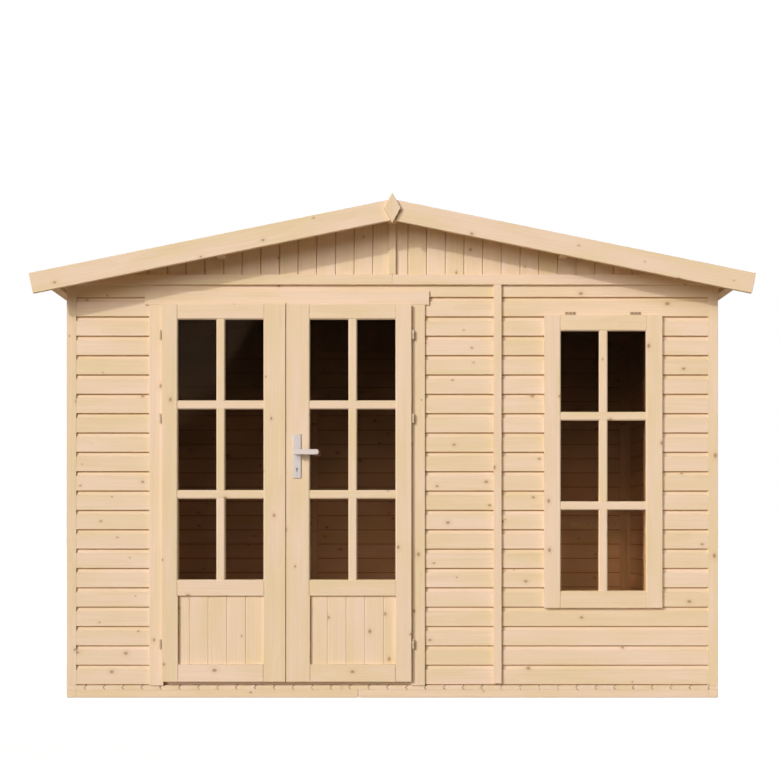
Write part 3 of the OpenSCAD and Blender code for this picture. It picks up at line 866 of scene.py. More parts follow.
def weatherboard(left, right, bottom, face, back):
    """One horizontal weatherboard facing -Y, hollow at its top, and the tongue that closes its joint."""
    sizes = bpy.context.scene.shed_boards
    top = bottom + sizes.cover - sizes.joint_gap
    foot = top - sizes.scoop_height
    board = block("weatherboard", (left, face, bottom), (right, back, top))
    radius = (sizes.scoop_height**2 + sizes.scoop_depth**2) / (2 * sizes.scoop_depth)
    heights = [foot + sizes.scoop_height * n / SCOOP_STEPS for n in range(SCOOP_STEPS + 1)]
    for height in heights[:-1]:
        slice_at(board, (0, 0, height), AXES[Z])
    for height in heights[1:]:
        left_over = top - height
        depth = sizes.scoop_depth - (radius - math.sqrt(radius**2 - left_over**2))
        shift(board, on(Y, face, Z, height), (0, depth, 0))
    ease(board, sizes.lip_round, on(Y, face, Z, bottom), steps=2)
    inside = back - sizes.shoulder
    bury = 0.002
    # The tongue strip gets the darker joint wood, which is painted shade in the open joint.
    strip_low = (left, inside - sizes.tongue, top - bury)
    strip = block("tongue", strip_low, (right, inside, top + sizes.joint_gap + bury))
    return dressed(board, wood("boarded_spruce")), dressed(strip, joint_wood_painted_shade())


def weatherboards(low, high):
    """Rows of weatherboards and of their tongues that fill a box, facing -Y."""
    sizes = bpy.context.scene.shed_boards
    below = math.ceil((sizes.first_joint - low.z) / sizes.cover - NEAR)
    start = sizes.first_joint - below * sizes.cover
    count = math.ceil((high.z - start) / sizes.cover)
    rows = []
    for part in weatherboard(low.x, high.x, start, low.y, high.y):
        row_of(part, AXES[Z] * sizes.cover, count)
        trim(part, low={Z: low.z}, high={Z: high.z})
        if part.data.vertices:
            rows.append(part)
        else:
            remove(part)
    return rows


def matched_board(low, high, wide, thick, face, gap, hook):
    """A board with a pointed tongue and groove; wide is its width's axis, face the side that shows."""
    sizes = bpy.context.scene.shed_boards
    low, high = Vector(low), Vector(high)
    high[wide] -= gap
    board = block("matched_board", low, high)
    middle = (low[thick] + high[thick]) / 2
    slice_at(board, AXES[thick] * middle, AXES[thick])
    for edge in (low[wide], high[wide]):
        shift(board, on(thick, middle, wide, edge), AXES[wide] * -hook)
    outer = high[thick] if face > 0 else low[thick]
    for edge in (low[wide], high[wide]):
        ease(board, sizes.upright_veer, on(thick, outer, wide, edge))
    return board


def matched_boards(low, high, wide, thick, face, cover, first, gap=None, hook=None):
    """Matched boards side by side that fill a box; first is the place of one joint."""
    sizes = bpy.context.scene.shed_boards
    low, high = Vector(low), Vector(high)
    start = first - cover * math.ceil((first - low[wide]) / cover - NEAR)
    count = math.ceil((high[wide] - start) / cover - NEAR)
    one_low, one_high = low.copy(), high.copy()
    one_low[wide], one_high[wide] = start, start + cover
    joint = (gap or sizes.upright_gap, hook or sizes.hook)
    board = matched_board(one_low, one_high, wide, thick, face, *joint)
    row_of(board, AXES[wide] * cover, count)
    return trim(board, low={wide: low[wide]}, high={wide: high[wide]})


def quarter_box(low, high, quarters):
    """A box turned by quarter turns about the upright axis through the origin."""
    for _ in range(quarters % 4):
        low, high = Vector((-high.y, low.x, low.z)), Vector((-low.y, high.x, high.z))
    return low, high


def wall(node, quarters, hole=None):
    """A wall of weatherboards for a CAD node, turned by quarter turns from facing -Y."""
    parts = []
    for low, high in solids(node):
        low, high = quarter_box(low, high, -quarters)
        parts += weatherboards(low, high)
    if hole:
        parts = [hollow(part, block("window_hole", *hole)) for part in parts]
    piece = lay_grain(joined(node + "_boards", parts), X, Z)
    if quarters:
        turn(piece, quarters * math.pi / 2, Z, (0, 0, 0))
    return piece


def under_roof(piece, drop=0.0):
    """Saws a piece off along both slopes of the deck's underside."""
    for side in (1, -1):
        out = slope_way(side)[1]
        slice_at(piece, ridge_point() - out * drop, out, drop=True)
    return piece


def timbers(node, along, across, width=None, on_wall=False, grow=0.0):
    """Eased planks in the places of a CAD node's solids; grow lengthens them along X at the middle."""
    sizes = bpy.context.scene.shed_boards
    parts = []
    for low, high in solids(node):
        if side_of(low, high) > 0:
            low.x -= grow
        else:
            high.x += grow
        back = None
        if on_wall:
            back = high.y if low.y < 0 else low.y
        parts.append(plank(low, high, width or sizes.ease, back))
    return lay_grain(joined(node + "_planed", parts), along, across)


# ---------------------------------------------------------------- operators


class SHED_OT_base(bpy.types.Operator):
    """Bearers, joists and the tongued floor boards"""

    bl_idname = "shed.base"
    bl_label = "Base and floor"

    def execute(self, context):
        sizes = context.scene.shed_boards
        sawn = wood("sawn_spruce", knots=0.35)
        for node, along in (("base_bearers", Y), ("base_joists", X)):
            stand_in(timbers(node, along, Z, sizes.batten_ease), node, sawn)
        low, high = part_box("floor")
        first = low.x + sizes.first_floor
        joint = {"gap": sizes.floor_gap, "hook": sizes.floor_hook}
        boards = matched_boards(low, high, X, Z, 1, sizes.floor_cover, first, **joint)
        wooden("floor_boards", [boards], "floor", Y, X, boarded=True)
        return {"FINISHED"}


class SHED_OT_walls(bpy.types.Operator):
    """Weatherboards on all four walls, cut round the doorway and the window"""

    bl_idname = "shed.walls"
    bl_label = "Walls"
    quarters = {
        "front_wall_left": 0,
        "front_wall_middle": 0,
        "front_wall_over_door": 0,
        "front_wall_window": 0,
        "back_wall": 2,
        "right_wall": 1,
        "left_wall": 3,
    }

    def execute(self, context):
        show = context.scene.shed_joinery.frame_show
        inset = Vector((show, -0.1, show))
        low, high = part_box("window_stiles")
        window = (low + inset, high - inset)
        for node, quarters in self.quarters.items():
            piece = wall(node, quarters, window if node == "front_wall_window" else None)
            if quarters % 2:
                under_roof(piece)
            stand_in(piece, node)
        return {"FINISHED"}


class SHED_OT_gables(bpy.types.Operator):
    """Upright matched boards of both gables"""

    bl_idname = "shed.gables"
    bl_label = "Gables"

    def execute(self, context):
        sizes = context.scene.shed_boards
        parts = []
        for low, high in solids("gables"):
            face = -1 if low.y < 0 else 1
            first = sizes.right_gable_joint if side_of(low, high) > 0 else -sizes.left_gable_joint
            cover, gap = sizes.upright_cover, sizes.gable_gap
            boards = matched_boards(low, high, X, Y, face, cover, first, gap=gap)
            parts.append(under_roof(boards))
        wooden("gable_boards", parts, "gables", Z, X, boarded=True)
        return {"FINISHED"}


class SHED_OT_trim(bpy.types.Operator):
    """Corner boards, cover strips and the rails under the gables"""

    bl_idname = "shed.trim"
    bl_label = "Trim"

    def execute(self, context):
        planed = wood("planed_spruce")
        stand_in(timbers("corner_boards", Z, X), "corner_boards", planed)
        strips = timbers("cover_strips", Z, X, on_wall=True)
        stand_in(strips, "cover_strips", planed)
        rails = under_roof(timbers("gable_rails", X, Z, on_wall=True, grow=0.0008))
        stand_in(rails, "gable_rails", planed)
        return {"FINISHED"}


class SHED_OT_roof_deck(bpy.types.Operator):
    """Matched boards of the roof deck, which run down each slope"""

    bl_idname = "shed.roof_deck"
    bl_label = "Roof deck"

    def execute(self, context):
        sizes = context.scene.shed_boards
        ridge = ridge_point()
        for node, side in (("roof_deck_left", -1), ("roof_deck_right", 1)):
            low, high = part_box(node)
            end, foot, top = slope_span(low, high)
            near, far = sorted((side * -PAST_RIDGE, side * end))
            flat_low = Vector((near, low.y, ridge.z + foot))
            flat_high = Vector((far, high.y, ridge.z + top))
            boards = matched_boards(flat_low, flat_high, Y, Z, -1, sizes.upright_cover, low.y)
            boards = joined(node + "_boards", [boards])
            lay_grain(boards, X, Y)
            stand_in(pitched(boards, side), node, wood("boarded_spruce"))
        return {"FINISHED"}


class SHED_OT_bargeboards(bpy.types.Operator):
    """Sloping bargeboards and the diamonds over their joints"""

    bl_idname = "shed.bargeboards"
    bl_label = "Bargeboards"

    def execute(self, context):
        sizes = context.scene.shed_boards
        ridge = ridge_point()
        parts = []
        for low, high in solids("bargeboards"):
            side = side_of(low, high)
            end, foot, top = slope_span(low, high)
            near, far = sorted((side * -3 * PAST_RIDGE, side * end))
            board = plank((near, low.y, ridge.z + foot), (far, high.y, ridge.z + top), sizes.ease)
            board.name = f"barge_{len(parts)}"
            lay_grain(board, X, Z)
            parts.append(pitched(board, side, gap=context.scene.shed_roof.mitre))
        piece = joined("bargeboards_planed", parts)
        stand_in(piece, "bargeboards", wood("planed_spruce"))

        kites = []
        for low, high in solids("ridge_diamonds"):
            centre = (low + high) / 2
            kite = rod("kite", centre, 0.5, high.y - low.y, Y, sides=4)
            pick(kite)
            size = Vector((high.x - low.x, 1, high.z - low.z))
            bpy.ops.transform.resize(value=size, center_override=centre)
            leave()
            kites.append(ease(kite, 0.0020, steps=2))
        wooden("ridge_diamonds_planed", kites, "ridge_diamonds", Z, X)
        return {"FINISHED"}


def shingle_row(roof, width, start, level, rise):
    """One row of hexagon shingles, flat along X: sheets side by side, each with its tab."""
    body = roof.exposure + roof.headlap
    bpy.ops.object.select_all(action="DESELECT")
    bpy.ops.mesh.primitive_plane_add(size=1, location=(start + body / 2, 0, level), scale=(1, 1, 1))
    sheet = settle("shingle")
    pick(sheet)
    centre = (start + body / 2, 0, level)
    bpy.ops.transform.resize(value=(body, roof.tab_pitch - SKIN, 1), center_override=centre)
    leave()
    for way in (1, -1):
        slice_at(sheet, AXES[Y] * (way * roof.tab_top / 2), AXES[Y])
    foot = start + body
    middle = roof.tab_top / 2 + NEAR
    pick(sheet, "EDGE", lambda e: on(X, foot)(e) and all(abs(v.co.y) < middle for v in e.verts))
    bpy.ops.mesh.extrude_region_move(TRANSFORM_OT_translate={"value": (roof.exposure, 0, 0)})
    narrow = (1, roof.tab_foot / roof.tab_top, 1)
    bpy.ops.transform.resize(value=narrow, center_override=(foot, 0, level))
    leave()
    modified(sheet, "SOLIDIFY", thickness=roof.sheet, offset=1)
    slant = math.atan(rise / (body + roof.exposure))
    turn(sheet, -slant, Y, (start, 0, level))
    count = math.ceil(width / roof.tab_pitch) + 2
    shift(sheet, None, (0, -roof.tab_pitch * (count - 1) / 2, 0))
    return row_of(sheet, AXES[Y] * roof.tab_pitch, count)


class SHED_OT_shingles(bpy.types.Operator):
    """Rows of hexagon shingles on both slopes"""

    bl_idname = "shed.shingles"
    bl_label = "Shingles"

    def execute(self, context):
        roof = context.scene.shed_roof
        ridge = ridge_point()
        for node, side in (("shingles_left", -1), ("shingles_right", 1)):
            low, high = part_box(node)
            end, foot, top = slope_span(low, high)
            rise = top - foot - roof.sheet - SKIN
            sheet_length = 2 * roof.exposure + roof.headlap
            rows = math.ceil((end + roof.exposure) / roof.exposure)
            master = shingle_row(roof, high.y - low.y, end - sheet_length, ridge.z + foot, rise)
            parts = []
            for n in range(rows):
                half = roof.tab_pitch / 2 * (n % 2)
                parts.append(copy_of(master, (-n * roof.exposure, half, 0)))
            starter = copy_of(master, (roof.exposure, roof.tab_pitch / 2, 0))
            parts.append(starter)
            remove(master)
            piece = joined(node + "_tabs", parts)
            lay_sheets(piece, node)
            trim(piece, low={Y: low.y, X: -PAST_RIDGE}, high={Y: high.y, X: end})
            if side < 0:
                turn(piece, math.pi, Z, (0, (low.y + high.y) / 2, 0))
            stand_in(pitched(piece, side), node, shingle_finish())
        return {"FINISHED"}


class SHED_OT_ridge_caps(bpy.types.Operator):
    """Overlapping caps folded over the ridge"""

    bl_idname = "shed.ridge_caps"
    bl_label = "Ridge caps"

    def execute(self, context):
        roof = context.scene.shed_roof
        low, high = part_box("ridge_caps")
        ridge = ridge_point()
        end, foot, top = slope_span(Vector((0, low.y, low.z)), high)
        depth = roof.cap_show + roof.cap_lap
        base = ridge.z + foot
        cap = block("cap", (-end, low.y, base), (end, low.y + depth, base + roof.cap_sheet))
        slice_at(cap, (0, 0, 0), AXES[X])

        def corner(edge):
            first, second = (vertex.co for vertex in edge.verts)
            return abs(first.z - second.z) > roof.cap_sheet / 2 and abs(first.x) > NEAR

        ease(cap, roof.cap_round, corner)
        rise = top - foot - roof.cap_sheet - SKIN
        slant = math.atan(rise / depth)
        turn(cap, -slant, X, (0, low.y, base))
        for side in (-1, 1):
            drop = end * math.sin(roof.pitch)
            inward = end * (1 - math.cos(roof.pitch))
            shift(cap, lambda v: v.co.x * side > NEAR, (-side * inward, 0, -drop))
        lift = foot / math.cos(roof.pitch) - foot
        shift(cap, None, (0, 0, lift))
        count = math.ceil((high.y - low.y) / roof.cap_show)
        row_of(cap, AXES[Y] * roof.cap_show, count)
        trim(cap, high={Y: high.y})
        piece = joined("ridge_caps_folded", [cap])
        lay_sheets(piece, "ridge_caps")
        for item in piece.data.attributes["place"].data:
            item.vector = Vector(item.vector) + Vector((roof.headlap + 2 * roof.band, 0, 0))
        stand_in(piece, "ridge_caps", shingle_finish())
        return {"FINISHED"}


def rebated(low, high, split, left=0.0, right=0.0, bottom=0.0, top=0.0, beads=()):
    """A frame part in two layers: a full front layer, and a back layer held in by the given widths.

    Each bead is a pair of axis and value that names a front edge with the chamfer of the panes.
    """
    part = block("frame_part", low, (high.x, split, high.z))
    inner_low = Vector((low.x + left, split, low.z + bottom))
    inner_high = Vector((high.x - right, split, high.z - top))
    for axis in (X, Z):
        for value, edge in ((inner_low[axis], low[axis]), (inner_high[axis], high[axis])):
            if abs(value - edge) > NEAR:
                slice_at(part, AXES[axis] * value, AXES[axis])

    def core(face):
        middle = face.calc_center_median()
        inside = inner_low.x < middle.x < inner_high.x and inner_low.z < middle.z < inner_high.z
        return face.normal.y > 0.99 and inside

    pull(part, core, (0, high.y - split, 0))
    for axis, value in beads:
        ease(part, bpy.context.scene.shed_joinery.bead, on(Y, low.y, axis, value))
    return ease(part, bpy.context.scene.shed_boards.ease / 2, square)


def chamfer_above(part, edge, way, front, start):
    """Chamfers the upright edge of an eased stile from a height up; way points out of the leaf."""
    bead = bpy.context.scene.shed_joinery.bead
    eased = bpy.context.scene.shed_boards.ease / 2
    slice_at(part, (edge + way * bead, 0, 0), AXES[X])
    slice_at(part, (0, 0, start), AXES[Z])
    slice_at(part, (0, 0, start + SKIN), AXES[Z])

    def corner(vertex):
        near = abs(vertex.co.x - edge) < eased + NEAR and vertex.co.y < front + eased + NEAR
        return near and vertex.co.z > start + NEAR

    return shift(part, corner, (0, bead - eased, 0))


def glazing_bars(low, high, rows, width, front, back):
    """The bars of one light: two across and one upright in three lengths, lapping over the chamfers."""
    bead = bpy.context.scene.shed_joinery.bead
    middle = (low.x + high.x) / 2
    parts = []
    stops = [low.z]
    for height in rows:
        foot, head = height - width / 2, height + width / 2
        parts.append(bar((low.x - bead, front, foot), (high.x + bead, back, head), Z, bead))
        stops += [foot, head]
    stops.append(high.z)
    lap = bead * 0.8
    for foot, head in zip(stops[::2], stops[1::2]):
        left, right = middle - width / 2, middle + width / 2
        parts.append(bar((left, front, foot - lap), (right, back, head + lap), X, bead))
    return parts


def bar(low, high, wide, bead):
    """One glazing bar with a chamfer along both sides of its face."""
    part = block("bar", low, high)
    for value in (low[wide], high[wide]):
        ease(part, bead, on(Y, low[Y], wide, value))
    return part


def light_bars(name, lower, upper, glass, width, inside):
    """The bars of the light between two rails, before its pane and behind it, with their grain."""
    sizes = bpy.context.scene.shed_joinery
    low = Vector((lower[0].x, 0, lower[1].z))
    high = Vector((upper[1].x, 0, upper[0].z))
    pane = (high.z - low.z - 2 * width) / 3
    rows = [low.z + pane + width / 2, high.z - pane - width / 2]
    glass_low, glass_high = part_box(glass)
    face = lower[0].y + sizes.bar_setback
    parts = glazing_bars(low, high, rows, width, face, glass_low.y - SKIN)
    parts += glazing_bars(low, high, rows, width, glass_high.y + SKIN, inside)
    lying = [part for part in parts if part.dimensions.x > part.dimensions.z]
    standing = [part for part in parts if part not in lying]
    lying = lay_grain(joined(name + "_lying", lying), X, Z)
    return [lying, lay_grain(joined(name + "_standing", standing), Z, X)]


def with_bars(name, rails, bars, node):
    """Rails with their grain, joined with the bars between them."""
    rails = lay_grain(joined(name, rails), X, Z)
    return stand_in(joined(name, [rails, *bars]), node, wood("planed_spruce"))


class SHED_OT_door_frame(bpy.types.Operator):
    """Jambs, head and threshold of the doorway"""

    bl_idname = "shed.door_frame"
    bl_label = "Door frame"

    def execute(self, context):
        stand_in(timbers("door_jambs", Z, X), "door_jambs", wood("planed_spruce"))
        low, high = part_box("door_head")
        jamb_low, jamb_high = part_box("door_jambs")
        wall_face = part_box("front_wall_left")[0].y
        head = rebated(low, high, wall_face, left=jamb_low.x - low.x, right=high.x - jamb_high.x)
        wooden("door_head_planed", [head], "door_head", X, Z)
        low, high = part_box("door_threshold")
        low.y += context.scene.shed_joinery.sill_back
        sill = ease(block("sill", low, high), 0.0012, square)
        wooden("door_threshold_planed", [sill], "door_threshold", X, Y)
        return {"FINISHED"}


class SHED_OT_door_leaves(bpy.types.Operator):
    """Both door leaves: stiles, rails, glazing bars and the boarded panels"""

    bl_idname = "shed.door_leaves"
    bl_label = "Door leaves"

    def execute(self, context):
        for leaf in ("left", "right"):
            rails = sorted(solids(leaf + "_door_rails"), key=lambda pair: pair[0].z)
            self.stiles(leaf, rails[1][0].z)
            self.rails(leaf, rails)
            self.panel(leaf, rails[0][0].x)
        return {"FINISHED"}

    def stiles(self, leaf, chamfer_start):
        """The hinge stile, which laps over the jamb, and the stile in the middle."""
        sizes = bpy.context.scene.shed_joinery
        parts = []
        for n, (low, high) in enumerate(solids(leaf + "_door_stiles")):
            side, way_out = (("left", -1), ("right", 1))[n]
            inner = (high.x, low.x)[n]
            held = {side: sizes.lap}
            if side != leaf:
                held = {side: sizes.meeting_lip}
                (low, high)[n].x += way_out * sizes.meeting_lip
            stile = rebated(low, high, low.y + sizes.lip, top=sizes.lap, **held)
            parts.append(chamfer_above(stile, inner, way_out, low.y, chamfer_start))
        wooden(leaf + "_door_stiles_planed", parts, leaf + "_door_stiles", Z, X)

    def rails(self, leaf, rails):
        """The three rails, and the glazing bars between the upper two."""
        sizes = bpy.context.scene.shed_joinery
        parts = []
        for n, (low, high) in enumerate(rails):
            beads = ([], [(Z, high.z)], [(Z, low.z)])[n]
            wide = Vector((sizes.bead - sizes.rail_joint if n else -sizes.foot_joint, 0, 0))
            top = sizes.lap if n == 2 else 0
            parts.append(rebated(low - wide, high + wide, low.y + sizes.lip, top=top, beads=beads))
        inside = rails[0][1].y - sizes.bar_setback
        glass = leaf + "_door_glass"
        bars = light_bars(leaf + "_door_bars", rails[1], rails[2], glass, sizes.door_bar, inside)
        with_bars(leaf + "_door_rails_planed", parts, bars, leaf + "_door_rails")

    def panel(self, leaf, opening):
        """The boarded panel, chamfered all round."""
        sizes = bpy.context.scene.shed_joinery
        low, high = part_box(leaf + "_door_panel")
        first = opening + getattr(sizes, leaf + "_door_joint")
        panel = matched_boards(low, high, X, Y, -1, sizes.panel_cover, first)
        chamfer = bpy.context.scene.shed_boards.upright_veer
        for axis, value in ((X, low.x), (X, high.x), (Z, low.z), (Z, high.z)):
            edge = on(axis, value, Y, low.y)
            ease(panel, chamfer, lambda e: len(e.link_faces) == 2 and edge(e))
        wooden(leaf + "_door_panel_boards", [panel], leaf + "_door_panel", Z, X, boarded=True)


class SHED_OT_window(bpy.types.Operator):
    """The window's sash and its glazing bars"""

    bl_idname = "shed.window"
    bl_label = "Window"

    def execute(self, context):
        sizes = context.scene.shed_joinery
        show = sizes.frame_show
        wall_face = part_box("front_wall_window")[0].y
        parts = []
        for n, (low, high) in enumerate(solids("window_stiles")):
            held = {("left", "right")[n]: show}
            inner = (X, (high.x, low.x)[n])
            parts.append(rebated(low, high, wall_face, bottom=show, top=show, beads=[inner], **held))
        wooden("window_stiles_planed", parts, "window_stiles", Z, X)

        rails = sorted(solids("window_rails"), key=lambda pair: pair[0].z)
        wide = Vector((sizes.bead - sizes.rail_joint, 0, 0))
        parts = []
        for n, (low, high) in enumerate(rails):
            held = {("bottom", "top")[n]: show}
            bead = (Z, (high.z, low.z)[n])
            parts.append(rebated(low - wide, high + wide, wall_face, beads=[bead], **held))
        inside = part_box("window_glass")[1].y + sizes.inner_bar
        bars = light_bars("window_bars", *rails, "window_glass", sizes.window_bar, inside)
        with_bars("window_rails_planed", parts, bars, "window_rails")
        return {"FINISHED"}


def barrel(name, centre, low, high):
    """A hinge barrel between two heights with eased ends."""
    middle = (*centre, (low + high) / 2)
    part = rod(name, middle, bpy.context.scene.shed_fittings.barrel, high - low, Z)
    return ease(part, 0.0012, any_of(on(Z, low), on(Z, high)), steps=2)


def smooth(piece):
    """Smooth shading with crisp edges."""
    activate(piece)
    bpy.ops.object.shade_smooth_by_angle(angle=math.radians(20))
    return piece


class SHED_OT_door_hinges(bpy.types.Operator):
    """Screw-in barrel hinges of the two leaves"""

    bl_idname = "shed.door_hinges"
    bl_label = "Door hinges"

    def execute(self, context):
        sizes = context.scene.shed_fittings
        cap_height = sizes.cap_height
        axis_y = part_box("left_door_hinges")[0].y + sizes.axis_in
        parts = []
        for low, high in solids("jamb_hinges"):
            axis = ((low.x + high.x) / 2, axis_y)
            seam = low.z + sizes.knuckle
            start = axis_y + sizes.barrel * 0.8
            stem_middle = (axis[0], (start + high.y) / 2, (low.z + seam) / 2)
            parts.append(barrel("lower", axis, low.z, seam))
            parts.append(rod("stem", stem_middle, sizes.stem, high.y - start, Y, 12))
            parts.append(rod("pin", (*axis, seam + 0.0004), sizes.pin, 0.002, Z, 12))
            parts.append(rod("foot", (*axis, low.z - cap_height / 2), sizes.cap, cap_height, Z, 12))
        piece = smooth(joined("jamb_hinge_barrels", parts))
        stand_in(piece, "jamb_hinges", steel())

        for leaf, end, inward in (("left", 0, 1), ("right", 1, -1)):
            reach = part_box(leaf + "_door_stiles")[end].x
            parts = []
            for low, high in solids(leaf + "_door_hinges"):
                axis = ((low, high)[end].x + inward * sizes.axis_in, axis_y)
                stem_middle = ((axis[0] + reach) / 2, axis_y, (low.z + high.z) / 2)
                parts.append(barrel("upper", axis, low.z, high.z))
                parts.append(rod("stem", stem_middle, sizes.stem, abs(axis[0] - reach), X, 12))
                parts.append(rod("cap", (*axis, high.z + cap_height / 2), sizes.cap, cap_height, Z, 12))
            piece = smooth(joined(leaf + "_door_hinge_barrels", parts))
            stand_in(piece, leaf + "_door_hinges", steel())
        return {"FINISHED"}


def screw(centre, radius, way_out):
    """A small countersunk screw head that looks along Y, with a slot."""
    head = rod("screw", centre, radius, 0.0016, Y, 20)
    front = centre[1] + way_out * 0.0008
    ease(head, 0.0005, on(Y, front), steps=2)
    reach = Vector((radius * 0.75, 0.0005, 0.0004))
    middle = Vector((centre[0], front, centre[2]))
    return hollow(head, block("slot", middle - reach, middle + reach))


class SHED_OT_door_handle(bpy.types.Operator):
    """Long plates with keyhole, and the lever on both faces"""

    bl_idname = "shed.door_handle"
    bl_label = "Door handle"

    def execute(self, context):
        colours = context.scene.shed_colours
        door_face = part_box("right_door_stiles")[0].y
        metal_parts, dark_parts = [], []
        for low, high in solids("handle_plates"):
            way_out = -1 if low.y < door_face else 1
            front = low.y if way_out < 0 else high.y
            middle = (low.x + high.x) / 2
            metal_parts += self.plate(low, high, middle, front, way_out)
            dark_parts += self.keyhole(middle, front, way_out)
        satin_plate = satin("satin_plate", colours.plate)
        metal_parts = [dressed(part, satin_plate) for part in metal_parts]
        dark_parts = [dressed(part, dark_metal()) for part in dark_parts]
        piece = smooth(joined("handle_plates_turned", metal_parts + dark_parts))
        stand_in(piece, "handle_plates")
        piece = smooth(joined("door_lever_turned", self.lever(middle)))
        stand_in(piece, "door_lever", satin("satin_lever", colours.handle))
        return {"FINISHED"}

    def plate(self, low, high, middle, front, way_out):
        """A long plate with its keyhole, its two screws and the collar of the spindle."""
        sizes = bpy.context.scene.shed_fittings
        plate = block("plate", low, high)
        ease(plate, sizes.plate_round, crossing(Y, 0.003), steps=2)
        ease(plate, sizes.plate_ease, on(Y, front), steps=2)
        hole = rod("hole", (middle, front, sizes.keyhole), sizes.key_round, 0.006, Y, 20)
        slot_low = (middle - sizes.key_slot, front - 0.003, sizes.keyhole - sizes.key_drop)
        slot_high = (middle + sizes.key_slot, front + 0.003, sizes.keyhole)
        parts = [hollow(hollow(plate, hole), block("slot", slot_low, slot_high))]
        for height in (low.z + 0.014, high.z - 0.014):
            parts.append(screw((middle, front + way_out * 0.0002, height), 0.0038, way_out))
        centre = (middle, front + way_out * sizes.collar_rise / 2, sizes.spindle)
        ring = rod("collar", centre, sizes.collar, sizes.collar_rise, Y, 28)
        parts.append(ease(ring, 0.0007, on(Y, front + way_out * sizes.collar_rise), steps=2))
        return parts

    def keyhole(self, middle, front, way_out):
        """The lock behind the keyhole, 3 mm in, coloured dark as painted shade."""
        sizes = bpy.context.scene.shed_fittings
        deep = front - way_out * 0.003
        edge = 0.0001  # a little smaller than the hole
        core = rod("core", (middle, deep, sizes.keyhole), sizes.key_round - edge, 0.002, Y, 20)
        ease(core, 0.0006, on(Y, deep + way_out * 0.001))
        slot_low = (middle - sizes.key_slot, deep - 0.001, sizes.keyhole - sizes.key_drop + edge)
        slot_high = (middle + sizes.key_slot, deep + 0.001, sizes.keyhole - edge)
        return [core, block("key", slot_low, slot_high)]

    def lever(self, middle):
        """The arms and necks on both faces of the door."""
        sizes = bpy.context.scene.shed_fittings
        low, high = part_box("door_lever")
        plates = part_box("handle_plates")
        parts = []
        for end, way_out in ((0, -1), (1, 1)):
            tip = (low, high)[end].y
            inner = tip - way_out * sizes.arm
            front, back = sorted((tip, inner))
            arm = block("arm", (low.x, front, low.z), (high.x, back, high.z))
            across = crossing(Y, sizes.arm / 2)
            ease(arm, sizes.arm_tip, lambda e: across(e) and on(X, high.x)(e))
            ease(arm, sizes.arm_root, lambda e: across(e) and on(X, low.x)(e), steps=2)
            parts.append(ease(arm, 0.0015, any_of(on(Y, front), on(Y, back)), steps=2))
            start, stop = sorted((plates[end].y + way_out * 0.0026, inner + way_out * 0.003))
            centre = (middle, (start + stop) / 2, sizes.spindle)
            parts.append(rod("neck", centre, sizes.neck, stop - start, Y, 24))
        return parts


class SHED_OT_window_hinges(bpy.types.Operator):
    """Small flap hinges over the window sash"""

    bl_idname = "shed.window_hinges"
    bl_label = "Window hinges"

    def execute(self, context):
        radius = context.scene.shed_fittings.flap_knuckle
        parts, screws = [], []
        for low, high in solids("window_hinges"):
            middle = (low + high) / 2
            parts.append(plank((low.x, middle.y, low.z), (high.x, high.y, high.z), 0.0008))
            axis = (low.y + 0.0036, low.z + 0.004)
            pitch = (high.x - low.x - 0.012) / 3
            for n in range(3):
                start = low.x + 0.006 + n * pitch
                stop = start + pitch - 0.0024
                knuckle = rod("knuckle", ((start + stop) / 2, *axis), radius, stop - start, X, 20)
                parts.append(ease(knuckle, 0.0006, any_of(on(X, start), on(X, stop))))
            for spot in (low.x + 0.009, middle.x, high.x - 0.009):
                screws.append(screw((spot, middle.y - 0.0004, high.z - 0.0050), 0.0036, -1))
        flaps = dressed(joined("window_hinge_flaps", parts), flap_steel())
        screws = dressed(joined("window_hinge_screws", screws), dark_metal())
        piece = smooth(joined("window_hinge_flaps", [flaps, screws]))
        stand_in(piece, "window_hinges")
        return {"FINISHED"}


class SHED_OT_frame_timber(bpy.types.Operator):
    """Finishes of the hidden frame and the panes, whose shapes are right as they are"""

    bl_idname = "shed.frame_timber"
    bl_label = "Frame and panes"

    def execute(self, context):
        grain = {
            "front_back_posts": Z,
            "side_posts": Z,
            "front_back_plates": X,
            "side_plates": Y,
            "ridge_beam": Y,
            "purlins": Y,
            "eave_laths": Y,
        }
        for node, axis in grain.items():
            self.dress(node, wood("frame_spruce_" + "xyz"[axis], along=axis))
        for node in ("left_door_glass", "right_door_glass", "window_glass"):
            self.dress(node, pane_finish())
        return {"FINISHED"}

    def dress(self, node, material):
        """Gives a CAD node one material."""
        dressed(frame["nodes"][node], material)


